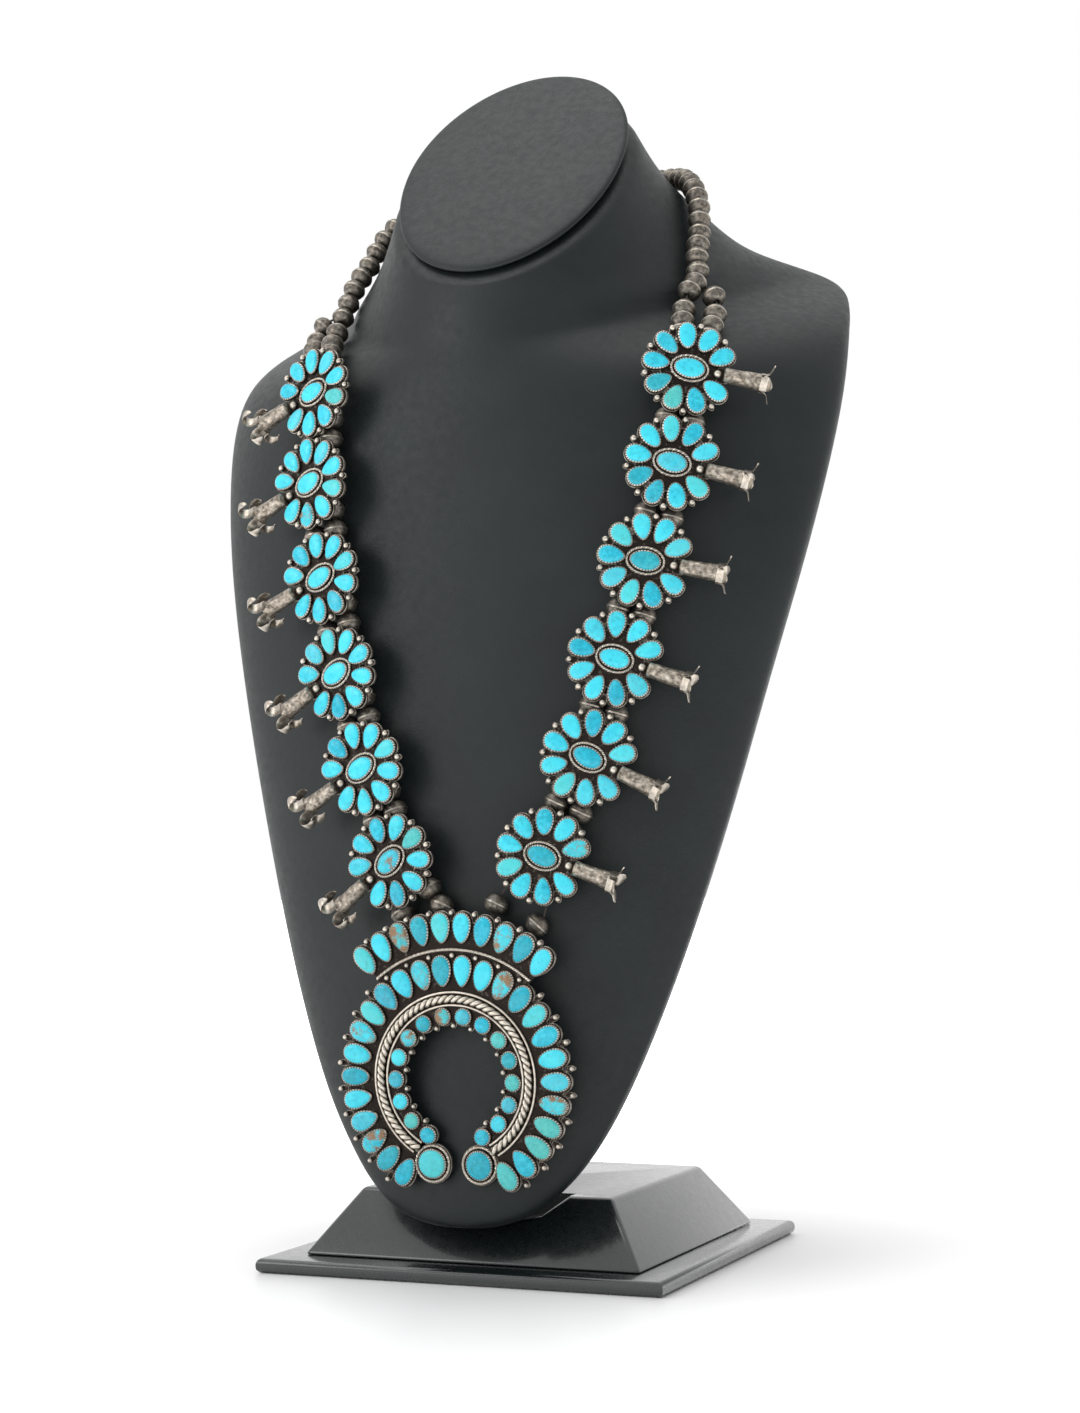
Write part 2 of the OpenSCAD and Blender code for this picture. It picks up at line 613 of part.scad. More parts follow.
// Plinth with sloping sides and a pocket for the foot of the bust
module block() {
    z0 = slab_h + stone_clear;
    z1 = slab_h + block_h;
    foot = block_foot / 2;
    top = block_top / 2;
    side = [for (k = [0:3]) [[-1, 1, 1, -1][k], [-1, -1, 1, 1][k]]];
    edge = [for (i = POCKET_ROWS) [BUST[i][HALF_W] + 2 * gap, BUST[i][FRONT_Z] - 1.5 * gap]];
    color("#232427") difference() {
        polyhedron(
            points = [for (end = [[foot, z0], [top, z1]], p = side) [p.x * end.x, p.y * end.x, end.y]],
            faces = [[0, 1, 2, 3], [7, 6, 5, 4], [0, 4, 5, 1], [1, 5, 6, 2], [2, 6, 7, 3], [3, 7, 4, 0]]);
        translate([0, pocket_back, 0]) rotate([90, 0, 0]) linear_extrude(pocket_len)
            polygon(concat(edge, [for (i = [len(edge) - 1:-1:0]) [-edge[i].x, edge[i].y]]));
    }
}

module bust() {
    rows = rows_between(BUST, BUST_STEPS);
    last = len(rows) - 1;
    color("#1b1c1f") loft([for (r = rows) ring(r, BUST_SIDES)], centre_of(rows[0]), centre_of(rows[last]));
}

module neck_cap() {
    base = ring(CAP_ROW, BUST_SIDES);
    middle = centre_of(CAP_ROW);
    tilt = atan2(CAP_ROW[BACK_Z] - CAP_ROW[FRONT_Z], CAP_ROW[BACK_Y] - CAP_ROW[FRONT_Y]);
    out = [0, -sin(tilt), cos(tilt)];
    rings = [for (p = CAP_PROFILE)
        let (h = p.y < 0 ? p.y * cap_depth : p.y * cap_crown)
        [for (q = base) middle + (q - middle) * p.x + out * h]];
    color("#1b1c1f") loft(rings, middle - out * cap_depth, middle + out * cap_crown);
}

module beads_nape() {
    color("dimgray") for (side = [0, 1], i = [0:nape_n - 1])
        mirror([side, 0, 0]) bead(nape_bead(i));
}
module beads_strand(strand) {
    color("dimgray") for (side = [-1, 1]) for (b = strand_beads(side, strand)) bead(b);
}
module thread_nape() {
    color("black") for (side = [0, 1]) mirror([side, 0, 0]) tube_along(nape_half, thread_d);
}
module thread_strand(strand) {
    color("black") tube_along(strand_route(strand), thread_d);
}
module string_ring(side) {
    color("silver") translate(ring_at(side)) rotate([0, side * 50, side * 25])
        rotate_extrude($fn = round_n) translate([ring_r, 0]) circle(d = ring_wire, $fn = 16);
}

// Plain hook clasp: a flat tongue with an eye at each end
module clasp() {
    eye_wire = 1.1;
    color("silver") translate(clasp_pos) rotate([clasp_tilt, 0, 0]) {
        translate(-clasp_tongue / 2) cube(clasp_tongue);
        for (s = [-1, 1]) translate([s * (clasp_tongue.x / 2 + clasp_eye - clasp_lap), 0, 0])
            rotate_extrude($fn = round_n)
                translate([clasp_eye - eye_wire / 2, 0]) circle(d = eye_wire, $fn = 16);
    }
}

slab();
block();
bust();
neck_cap();
naja();
naja_crest_stones();
naja_rim_stones();
naja_inner_stones();
for (i = [0:5]) {
    blossom(RIGHT, i, 1);
    blossom(LEFT, i, -1);
    blossom_stones(RIGHT, i, 1);
    blossom_stones(LEFT, i, -1);
}
beads_nape();
beads_strand(OUTER);  // beads_outer
beads_strand(INNER);  // beads_inner
thread_nape();
thread_strand(OUTER);  // thread_outer
thread_strand(INNER);  // thread_inner
string_ring(1);  // ring_right
string_ring(-1);  // ring_left
clasp();
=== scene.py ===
"""Squash blossom necklace on a neck bust stand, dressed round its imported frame.

Metres, +Z up, front towards -Y. Every place comes from the frame's own solids, and the main sizes are named
fields of the class that makes the piece.
"""

from __future__ import annotations

import logging
import math
import random
from collections.abc import Callable, Iterable, Sequence
from dataclasses import dataclass, replace
from enum import Enum
from itertools import pairwise

import bmesh
import bpy
import numpy as np
from bmesh.types import BMEdge, BMesh, BMVert
from bpy.types import Material, NodeSocket as Socket, Object
from mathutils import Matrix, Vector, noise


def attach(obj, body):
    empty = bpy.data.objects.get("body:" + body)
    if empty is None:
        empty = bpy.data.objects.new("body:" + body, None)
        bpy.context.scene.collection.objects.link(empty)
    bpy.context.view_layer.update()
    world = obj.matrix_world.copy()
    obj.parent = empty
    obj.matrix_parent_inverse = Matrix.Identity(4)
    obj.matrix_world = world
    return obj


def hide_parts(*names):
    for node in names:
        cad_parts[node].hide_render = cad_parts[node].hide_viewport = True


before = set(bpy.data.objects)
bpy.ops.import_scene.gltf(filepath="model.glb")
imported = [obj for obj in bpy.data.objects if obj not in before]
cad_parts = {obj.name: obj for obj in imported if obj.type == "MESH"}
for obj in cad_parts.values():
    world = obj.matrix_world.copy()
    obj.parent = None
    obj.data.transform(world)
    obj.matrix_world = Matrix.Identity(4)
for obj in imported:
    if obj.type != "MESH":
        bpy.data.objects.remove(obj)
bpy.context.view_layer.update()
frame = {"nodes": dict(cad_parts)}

LOG = logging.getLogger("necklace")
MM = 0.001
TAU = math.tau
Colour = tuple[float, float, float]
Outline = Callable[[float], Vector]


class Slot(Enum):
    """Names of the record's material slots that the pieces made here carry."""

    LEATHERETTE = "leatherette"
    SILVER = "silver"
    BEAD = "bead_silver"
    TURQUOISE = "turquoise"


class Side(Enum):
    """Which half of the necklace a blossom hangs in, as the viewer sees it."""

    RIGHT = "r"
    LEFT = "l"


class Cells(Enum):
    """What a pattern of irregular cells measures."""

    MIDDLES = "F1"
    SOFT_MIDDLES = "SMOOTH_F1"
    BORDERS = "DISTANCE_TO_EDGE"


class Gem(Enum):
    """Kinds of turquoise in the strings, each as green share, depth of colour and share of brown matrix."""

    CLEAR = (0.12, 0.15, 0.0)
    BLUE = (0.0, 0.62, 0.0)
    PALE = (0.55, 0.0, 0.05)
    GREEN = (0.95, 0.35, 0.12)
    DEEP = (0.35, 1.0, 0.05)
    PATCHED = (0.3, 0.25, 0.55)
    BROWN = (0.6, 0.5, 0.8)


GEM_LETTERS = {
    "c": Gem.CLEAR, "b": Gem.BLUE, "p": Gem.PALE, "g": Gem.GREEN,
    "d": Gem.DEEP, "x": Gem.PATCHED, "n": Gem.BROWN,
}


@dataclass(frozen=True)
class Curl:
    """How a sepal leaves the mouth of its tube: radius and degrees of its bend, and its straight tip."""

    bend_r: float
    degrees: float
    tail: float


CURLS = {Side.RIGHT: Curl(1.4 * MM, 70, 3.0 * MM), Side.LEFT: Curl(2.5 * MM, 235, 0.0)}


class Shader:
    """Adds and links the nodes of one material."""

    def __init__(self, name: str) -> None:
        """Start an empty material with one Principled shader.

        Args:
            name: The material's name.
        """
        self.material = bpy.data.materials.new(name)
        self.material.use_nodes = True
        self.tree = self.material.node_tree
        self.tree.nodes.clear()
        self.surface = self.tree.nodes.new("ShaderNodeBsdfPrincipled")
        out = self.tree.nodes.new("ShaderNodeOutputMaterial")
        self.tree.links.new(self.surface.outputs["BSDF"], out.inputs["Surface"])
        self.place = self.tree.nodes.new("ShaderNodeTexCoord").outputs["Object"]

    def node(self, kind: str, inputs: dict[str | int, object], **settings: object) -> bpy.types.Node:
        """Add a node.

        Args:
            kind: The node's type.
            inputs: A value or an output socket for each named or numbered input.
            **settings: Properties of the node itself.

        Returns:
            The new node.
        """
        made = self.tree.nodes.new(kind)
        for name, value in settings.items():
            setattr(made, name, value)
        for name, value in inputs.items():
            self.feed(made.inputs[name], value)
        return made

    def feed(self, socket: Socket, value: object) -> None:
        """Link an output to a socket, or set the socket's own value.

        Args:
            socket: The input to feed.
            value: An output socket, or a plain value.
        """
        if isinstance(value, Socket):
            self.tree.links.new(value, socket)
        else:
            socket.default_value = value

    def set(self, **sockets: object) -> None:
        """Feed the shader's own sockets, whose spaces are written as underscores."""
        for name, value in sockets.items():
            self.feed(self.surface.inputs[name.replace("_", " ")], value)

    def attribute(self, name: str, output: str = "Fac") -> Socket:
        """Socket of a mesh attribute."""
        return self.node("ShaderNodeAttribute", {}, attribute_name=name).outputs[output]

    def noise(self, size: float, detail: float = 3.0, place: Socket | None = None) -> Socket:
        """Soft noise.

        Args:
            size: Width of its largest features in metres.
            detail: How many finer layers it has.
            place: Where it is read, or None for the piece's own coordinates.

        Returns:
            The socket of its value.
        """
        made = self.node("ShaderNodeTexNoise", {"Vector": place or self.place, "Scale": 1 / size,
                                                "Detail": detail, "Roughness": 0.55})
        return made.outputs["Fac"]

    def cells(self, size: float, kind: Cells = Cells.MIDDLES, place: Socket | None = None) -> Socket:
        """Distance field of irregular cells of a size in metres."""
        inputs = {"Vector": place or self.place, "Scale": 1 / size}
        return self.node("ShaderNodeTexVoronoi", inputs, feature=kind.value).outputs["Distance"]

    def calculated(self, operation: str, *values: object) -> Socket:
        """Result of one mathematical step on values."""
        return self.node("ShaderNodeMath", dict(enumerate(values)), operation=operation).outputs[0]

    def remap(self, value: object, low: float, high: float, to_low: float = 0.0,
              to_high: float = 1.0) -> Socket:
        """Map a value's range to another and hold it inside.

        Args:
            value: The value.
            low: Start of its range.
            high: End of its range.
            to_low: What the start becomes.
            to_high: What the end becomes.

        Returns:
            The socket of the mapped value.
        """
        made = self.node("ShaderNodeMapRange", {"Value": value, "From Min": low, "From Max": high,
                                                "To Min": to_low, "To Max": to_high})
        return made.outputs["Result"]

    def sum_of(self, *terms: tuple[object, float]) -> Socket:
        """Weighted sum of values.

        Args:
            *terms: Each value with its weight.

        Returns:
            The socket of the sum.
        """
        total: object = 0.0
        for value, weight in terms:
            total = self.calculated("MULTIPLY_ADD", value, weight, total)
        return total

    def mix(self, share: object, first: object, second: object) -> Socket:
        """Mix two colours.

        Args:
            share: Share of the second colour.
            first: A socket or three numbers.
            second: A socket or three numbers.

        Returns:
            The socket of the mixed colour.
        """
        made = self.node("ShaderNodeMix", {}, data_type="RGBA")
        self.feed(made.inputs["Factor"], share)
        for socket, colour in zip((made.inputs[6], made.inputs[7]), (first, second)):
            self.feed(socket, colour if isinstance(colour, Socket) else (*colour, 1.0))
        return made.outputs[2]

    def bump(self, height: Socket, depth: float, strength: float = 1.0) -> None:
        """Shape the surface's normal by a height map of a depth in metres."""
        made = self.node("ShaderNodeBump", {"Height": height, "Distance": depth, "Strength": strength})
        self.set(Normal=made.outputs["Normal"])


@dataclass(frozen=True)
class Leatherette:
    """Black embossed leatherette: fine pebbles over a soft unevenness."""

    name: str = "leatherette_black"
    colour: Colour = (0.006, 0.009, 0.010)
    worn: Colour = (0.009, 0.013, 0.013)
    pebble: float = 0.75 * MM
    depth: float = 0.035 * MM
    roughness: tuple[float, float] = (0.40, 0.52)
    sheen: float = 0.32
    coat: float = 0.0

    def material(self) -> Material:
        """Build the material.

        Returns:
            The finished material.
        """
        s = Shader(self.name)
        cloud = s.noise(28 * MM, 4)
        s.set(Base_Color=s.mix(s.remap(cloud, 0.35, 0.7), self.colour, self.worn))
        s.set(Roughness=s.remap(s.noise(3 * MM, 4), 0.3, 0.7, *self.roughness))
        s.set(Specular_IOR_Level=self.sheen, Coat_Weight=self.coat, Coat_Roughness=0.12)
        grain = s.sum_of((s.cells(self.pebble), 1.0), (s.noise(0.3 * MM, 2), 0.3), (s.noise(9 * MM, 2), 2.0))
        s.bump(grain, self.depth)
        return s.material


@dataclass(frozen=True)
class Silver:
    """Hand-worked silver: a mesh attribute runs from dark oxide with painted shade, 0, to bare metal, 1."""

    name: str
    bare: Colour = (0.70, 0.64, 0.56)
    # Colour at zero bareness: oxide, and painted shade in hollows and under parts.
    tarnish_and_shade: Colour = (0.026, 0.021, 0.018)
    warmth: Colour = (0.55, 0.40, 0.27)
    roughness: tuple[float, float] = (0.50, 0.27)
    mottle: float = 0.35
    cloud: float = 1.3 * MM
    stamp: float = 0.0
    bareness: float = 0.0

    def material(self) -> Material:
        """Build the material.

        Returns:
            The finished material.
        """
        s = Shader(self.name)
        soft = s.noise(self.cloud, 5)
        # The mesh attribute darkens hollows, joins and undersides: oxide, and painted shade in place of
        # occlusion.
        wear = s.sum_of((s.attribute("wear"), 1.0), (self.bareness, 1.0),
                        (s.remap(soft, 0.3, 0.7, -1.0, 1.0), self.mottle * 0.5))
        scratch = s.noise(0.25 * MM, 3)
        relief = s.sum_of((soft, 0.6), (scratch, 0.25))
        if self.stamp:
            dents = s.cells(1.5 * MM, Cells.SOFT_MIDDLES)
            lines = s.cells(1.9 * MM, Cells.BORDERS)
            wear = s.sum_of((wear, 1.0), (s.remap(lines, 0.0, 0.16, -1.0, 0.0), self.stamp),
                            (s.remap(dents, 0.1, 0.5, 0.2, -0.6), self.stamp))
            relief = s.sum_of((relief, 1.0), (s.remap(lines, 0.0, 0.2), 2.5), (dents, 1.5))
        level = s.remap(wear, 0.14, 1.0)
        tone = s.mix(s.remap(s.noise(2.6 * MM, 3), 0.42, 0.72), self.bare, self.warmth)
        metal = s.mix(0.30, self.bare, tone)
        s.set(Base_Color=s.mix(level, self.tarnish_and_shade, metal), Metallic=1.0)
        s.set(Roughness=s.sum_of((s.remap(level, 0.0, 1.0, *self.roughness), 1.0), (scratch, 0.08)))
        s.bump(relief, 0.05 * MM, 0.6)
        return s.material


@dataclass(frozen=True)
class Turquoise:
    """Polished turquoise: the attribute tone holds green share, depth of colour, and matrix with a shift."""

    name: str = "turquoise_polished"
    sky: Colour = (0.060, 0.66, 0.77)
    blue: Colour = (0.018, 0.44, 0.61)
    green: Colour = (0.09, 0.50, 0.46)
    deep: Colour = (0.003, 0.24, 0.31)
    brown: Colour = (0.17, 0.095, 0.055)

    def material(self) -> Material:
        """Build the material.

        Returns:
            The finished material.
        """
        s = Shader(self.name)
        parts = s.node("ShaderNodeSeparateXYZ", {"Vector": s.attribute("tone", "Vector")}).outputs
        green, deep, code = parts["X"], parts["Y"], parts["Z"]
        matrix = s.calculated("FRACT", code)
        shift = s.calculated("FLOOR", code)
        steps = {"X": 13.7 * MM, "Y": 7.1 * MM, "Z": 9.3 * MM}
        moved = {axis: s.sum_of((shift, step)) for axis, step in steps.items()}
        offset = s.node("ShaderNodeCombineXYZ", moved).outputs[0]
        place = s.node("ShaderNodeVectorMath", {0: s.place, 1: offset}, operation="ADD").outputs[0]
        cloud = s.noise(5.5 * MM, 4, place)
        mottle = s.noise(1.5 * MM, 5, place)
        grain = s.noise(0.5 * MM, 3, place)
        blend = s.remap(s.sum_of((cloud, 0.9), (deep, 0.62), (mottle, 0.35)), 0.45, 1.15)
        colour = s.mix(blend, self.sky, self.blue)
        leaf = s.remap(s.sum_of((cloud, -0.5), (green, 0.9), (mottle, 0.5)), 0.1, 0.95)
        colour = s.mix(leaf, colour, self.green)
        dark = s.remap(s.sum_of((mottle, 0.6), (grain, 0.35), (deep, 0.25)), 0.52, 0.80, 0.0, 0.7)
        colour = s.mix(dark, colour, self.deep)
        cracks = s.cells(3.2 * MM, Cells.BORDERS, place)
        veins = s.remap(s.sum_of((cracks, 1.0), (mottle, 0.25)), 0.11, 0.17, 1.0, 0.0)
        patch = s.remap(s.sum_of((s.noise(4.2 * MM, 4, place), 1.0), (matrix, 0.42)), 0.74, 0.84)
        seam = s.calculated("MULTIPLY", veins, s.remap(matrix, 0.08, 0.6, 0.0, 0.75))
        rock = s.calculated("MAXIMUM", patch, seam)
        stone = s.mix(s.remap(grain, 0.35, 0.7), self.brown, (0.34, 0.22, 0.12))
        s.set(Base_Color=s.mix(rock, colour, stone))
        s.set(Roughness=s.sum_of((mottle, 0.14), (rock, 0.2), (0.14, 1.0)))
        s.set(Specular_IOR_Level=0.3, Coat_Weight=0.1, Coat_Roughness=0.12)
        s.bump(s.sum_of((mottle, 1.0), (rock, -1.2)), 0.025 * MM, 0.5)
        return s.material


@dataclass(frozen=True)
class Thread:
    """Dark waxed thread with a fine twist."""

    name: str = "thread_waxed"
    colour: Colour = (0.02, 0.017, 0.015)
    lit: Colour = (0.05, 0.042, 0.035)

    def material(self) -> Material:
        """Build the material.

        Returns:
            The finished material.
        """
        s = Shader(self.name)
        fibre = s.noise(0.18 * MM, 3)
        s.set(Base_Color=s.mix(s.remap(fibre, 0.3, 0.7), self.colour, self.lit), Roughness=0.7)
        s.bump(fibre, 0.06 * MM)
        return s.material


def stand(place: Vector, ahead: Vector, up: Vector) -> Matrix:
    """Matrix that stands the flat xy plane at a place, square to the way ahead.

    Args:
        place: Where the origin goes.
        ahead: Direction of the local z axis.
        up: Direction that the local x axis keeps closest to.

    Returns:
        The 4 by 4 matrix.
    """
    z = ahead.normalized()
    y = z.cross(up).normalized()
    return columns(y.cross(z), y, z, place)


def columns(x: Vector, y: Vector, z: Vector, place: Vector) -> Matrix:
    """Matrix with these three axes and this origin."""
    turned = Matrix((x, y, z)).transposed().to_4x4()
    return Matrix.Translation(place) @ turned


def polar(reach: float, degrees: float, height: float = 0.0) -> Matrix:
    """Frame at a reach from the z axis, its x axis outwards."""
    return Matrix.Rotation(math.radians(degrees), 4, "Z") @ Matrix.Translation((reach, 0, height))


def loose_parts(node: str) -> list[np.ndarray]:
    """The corners of each loose solid in a frame node.

    Args:
        node: The node's name.

    Returns:
        One array of points per solid, in the order of the mesh, each solid's own corners merged.
    """
    bm = bmesh.new()
    bm.from_mesh(frame["nodes"][node].data)
    bmesh.ops.remove_doubles(bm, verts=bm.verts, dist=0.001 * MM)
    seen, parts = set(), []
    for first in bm.verts:
        if first in seen:
            continue
        seen.add(first)
        found, edge_of = [], [first]
        while edge_of:
            v = edge_of.pop()
            found.append(tuple(v.co))
            for e in v.link_edges:
                other = e.other_vert(v)
                if other not in seen:
                    seen.add(other)
                    edge_of.append(other)
        parts.append(np.array(found))
    bm.free()
    return parts


def middle_of(node: str) -> Vector:
    """Mean of the middles of a frame node's loose solids."""
    return Vector(np.mean([part.mean(axis=0) for part in loose_parts(node)], axis=0))


def row_frame(node: str, count: int, floor: float) -> Matrix:
    """Frame of a ring of stones: x runs to the open side of the ring, z away from the plate.

    Args:
        node: The node that holds the stones.
        count: How many of its solids, the outermost ones, make the ring.
        floor: Height of the stones' undersides over the back of their plate.

    Returns:
        The matrix, its origin at the back of the plate on the ring's own axis.
    """
    parts = loose_parts(node)
    middles = np.array([p.mean(axis=0) for p in parts])
    far = np.argsort(-np.linalg.norm(middles - middles.mean(axis=0), axis=1))[:count]
    ring = middles[far]
    centre = ring.mean(axis=0)
    axes = np.linalg.svd(ring - centre)[2]
    normal = axes[2] * (-1 if axes[2][1] > 0 else 1)
    flat = (ring - centre) @ axes[:2].T
    fit = np.linalg.lstsq(np.c_[2 * flat, np.ones(count)], (flat**2).sum(axis=1), rcond=None)[0]
    middle = centre + fit[:2] @ axes[:2]
    low = min(float((parts[i] @ normal).min()) for i in far)
    middle = middle + normal * (low - floor - middle @ normal)
    opened = Vector(middle - centre)
    z = Vector(normal)
    x = (opened - z * opened.dot(z)).normalized()
    return columns(x, z.cross(x), z, Vector(middle))


@dataclass(frozen=True)
class Seat:
    """Where one stone sits on its plate: x towards its big end, z away from the plate."""

    frame: Matrix
    length: float
    width: float
    swell: float = 0.0

    def varied(self, draw: random.Random) -> Seat:
        """The same seat with the small unevenness of hand-cut stones.

        Args:
            draw: The source of the random shares.

        Returns:
            The changed seat, never longer than the first.
        """
        turn = Matrix.Rotation(math.radians(draw.uniform(-3.5, 3.5)), 4, "Z")
        return Seat(self.frame @ turn, self.length * draw.uniform(0.97, 1.0),
                    self.width * draw.uniform(0.94, 1.03), self.swell * draw.uniform(0.4, 1.25))

    def edge(self, grow: float, height: float, share: float = 1.0) -> Outline:
        """Outline of the seat.

        Args:
            grow: Margin that it is grown by.
            height: Its height over the back of the plate.
            share: Share of its size that is left.

        Returns:
            The place of its corner at an angle.
        """
        half_x = (self.length / 2 + grow) * share
        half_y = (self.width / 2 + grow) * share

        def place(t: float) -> Vector:
            """Place of a corner."""
            widen = 1 + self.swell * math.cos(t)
            return Vector((half_x * math.cos(t), half_y * math.sin(t) * widen, height))

        return place

    def round_about(self) -> float:
        """Length of the outline."""
        a, b = self.length / 2, self.width / 2
        return math.pi * (1.5 * (a + b) - math.sqrt(a * b))


class Form:
    """One closed solid in the making: rings of corners that faces join in turn."""

    def __init__(self) -> None:
        """Start an empty form."""
        self.bm: BMesh = bmesh.new()
        self.order = self.bm.verts.layers.int.new("order")
        self.wear = self.bm.verts.layers.float.new("wear")
        self.tone = self.bm.verts.layers.float_vector.new("tone")

    def loop(self, count: int) -> tuple[list[BMVert], list[BMEdge]]:
        """Unit circle of loose edges in the xy plane.

        Args:
            count: Number of its corners.

        Returns:
            Its corners, numbered in turn in the layer order, and its edges.
        """
        verts = bmesh.ops.create_circle(self.bm, cap_ends=False, segments=count, radius=1.0)["verts"]
        for i, v in enumerate(verts):
            v[self.order] = i
            v.co = (math.cos(TAU * i / count), math.sin(TAU * i / count), 0.0)
        return verts, list(dict.fromkeys(e for v in verts for e in v.link_edges))

    def raised(self, edges: Sequence[BMEdge]) -> tuple[list[BMVert], list[BMEdge]]:
        """Extrude a closed run of edges.

        Args:
            edges: The edges.

        Returns:
            The corners and the edges of the new run.
        """
        made = bmesh.ops.extrude_edge_only(self.bm, edges=edges)["geom"]
        verts = [g for g in made if isinstance(g, BMVert)]
        return verts, [g for g in made if isinstance(g, BMEdge) and g.is_boundary]

    def cap(self, edges: Sequence[BMEdge]) -> None:
        """Close a run of edges with one face."""
        bmesh.ops.contextual_create(self.bm, geom=edges)

    def take(self, node: str) -> None:
        """Take in the mesh of a frame node, its double corners merged."""
        self.bm.from_mesh(frame["nodes"][node].data)
        bmesh.ops.remove_doubles(self.bm, verts=self.bm.verts, dist=0.01 * MM)

    def stack(self, count: int, rings: Sequence[Outline], closed: bool) -> list[list[BMVert]]:
        """Rings of corners, each joined to the one before.

        Args:
            count: Corners of each ring.
            rings: For each ring the place of a corner at an angle.
            closed: Whether the last ring joins the first. Otherwise both ends are capped.

        Returns:
            The corners of each ring.
        """
        verts, edges = self.loop(count)
        first, made = edges, []
        for k, place in enumerate(rings):
            if k:
                verts, edges = self.raised(edges)
            for v in verts:
                v.co = place(TAU * v[self.order] / count)
            made.append(list(verts))
        if closed:
            bmesh.ops.bridge_loops(self.bm, edges=first + edges)
        else:
            self.cap(first)
            self.cap(edges)
        return made

    def sweep(self, line: Sequence[Matrix], half_x: float, half_y: float, sides: int,
              closed: bool = False) -> list[list[BMVert]]:
        """Carry an oval section along a line of frames.

        Args:
            line: The frames in turn, each with the section in its xy plane.
            half_x: Half the section's size along x.
            half_y: Half the section's size along y.
            sides: Corners of the section.
            closed: Whether the last frame leads back to the first.

        Returns:
            The corners of each section.
        """

        def ring(at: Matrix) -> Outline:
            """Place of a section's corner."""
            return lambda t: at @ Vector((half_x * math.cos(t), half_y * math.sin(t), 0.0))

        return self.stack(sides, [ring(at) for at in line], closed)

    def turned(self, profile: Sequence[tuple[float, float]], steps: int, angle: float = TAU,
               outline: bool = False) -> None:
        """Spin a half section round the z axis.

        Args:
            profile: Radius and height of its points in turn.
            steps: Number of steps.
            angle: How far it turns, from the x axis.
            outline: Whether the section is a closed outline.
        """
        verts = [self.bm.verts.new((r, 0.0, h)) for r, h in profile]
        pairs = list(pairwise(verts)) + ([(verts[-1], verts[0])] if outline else [])
        edges = [self.bm.edges.new(p) for p in pairs]
        whole = abs(angle - TAU) < 1e-6
        made = bmesh.ops.spin(self.bm, geom=verts + edges, cent=(0, 0, 0), axis=(0, 0, 1), dvec=(0, 0, 0),
                              angle=angle, space=Matrix.Identity(4), steps=steps, use_merge=whole,
                              use_normal_flip=False, use_duplicate=False)
        if outline and not whole:
            self.cap(edges)
            self.cap([g for g in made["geom_last"] if isinstance(g, BMEdge)])
        bmesh.ops.remove_doubles(self.bm, verts=self.bm.verts, dist=1e-6)

    def wear_and_shade_by(self, rule: Callable[[Vector], float]) -> Form:
        """Give every corner its bareness, low where oxide and painted shade darken it.

        Args:
            rule: Finds the bareness of a place, low for oxide and painted shade.

        Returns:
            This form.
        """
        for v in self.bm.verts:
            v[self.wear] = min(1.0, max(0.0, rule(v.co)))
        return self


class Piece:
    """A piece of the scene, joined from finished forms."""

    def __init__(self, name: str, slot: Slot, nodes: Sequence[str], *materials: Material) -> None:
        """Start an empty piece.

        Args:
            name: Its name.
            slot: The record's material slot. Not used.
            nodes: The frame nodes that it replaces.
            *materials: Its finishes, in the order of the faces' material numbers.
        """
        self.name, self.slot, self.nodes, self.materials = name, slot, nodes, materials
        self.parts: list[bpy.types.Mesh] = []

    def add(self, form: Form, at: Matrix, material: int = 0) -> None:
        """Take in a finished form.

        Args:
            form: The form, which is spent.
            at: Where it goes.
            material: Number of its finish.
        """
        for face in form.bm.faces:
            face.material_index = material
        mesh = bpy.data.meshes.new("part")
        form.bm.to_mesh(mesh)
        form.bm.free()
        mesh.transform(at)
        self.parts.append(mesh)

    def finish(self, crease: float = 38.0) -> Object:
        """Join the forms and hand the piece over.

        Args:
            crease: Angle in degrees over which an edge stays sharp.

        Returns:
            The new object, riding on the one body.
        """
        bm = bmesh.new()
        for part in self.parts:
            bm.from_mesh(part)
            bpy.data.meshes.remove(part)
        bmesh.ops.recalc_face_normals(bm, faces=bm.faces)
        mesh = bpy.data.meshes.new(self.name)
        bm.to_mesh(mesh)
        bm.free()
        mesh.shade_smooth()
        mesh.set_sharp_from_angle(angle=math.radians(crease))
        for material in self.materials:
            mesh.materials.append(material)
        obj = bpy.data.objects.new(self.name, mesh)
        bpy.context.scene.collection.objects.link(obj)
        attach(obj, "root")
        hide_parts(*self.nodes)
        return obj


@dataclass(frozen=True)
class Bend:
    """Flat curve round the z axis: an arc, or a whole oval where it runs all the way round."""

    half_x: float
    half_y: float
    height: float
    start: float = 0.0
    turn: float = TAU

    @property
    def closed(self) -> bool:
        """Whether it runs all the way round."""
        return self.turn >= TAU - 1e-6

    def point(self, angle: float) -> Vector:
        """Point at an angle."""
        return Vector((self.half_x * math.cos(angle), self.half_y * math.sin(angle), self.height))

    def outward(self, angle: float) -> Vector:
        """Flat direction away from the curve's middle at an angle."""
        return Vector((math.cos(angle) / self.half_x, math.sin(angle) / self.half_y, 0)).normalized()

    def evenly(self, step: float) -> tuple[list[float], float]:
        """Angles that lie a step apart along the curve.

        Args:
            step: Wanted distance in metres.

        Returns:
            The angles, without the last one where the curve is closed, and the curve's length.
        """
        fine = [self.start + self.turn * i / 720 for i in range(721)]
        lengths = [0.0]
        for a, b in pairwise(fine):
            lengths.append(lengths[-1] + (self.point(b) - self.point(a)).length)
        count = max(4, round(lengths[-1] / step))
        angles = [float(np.interp(lengths[-1] * i / count, lengths, fine)) for i in range(count + 1)]
        return (angles[:-1] if self.closed else angles), lengths[-1]


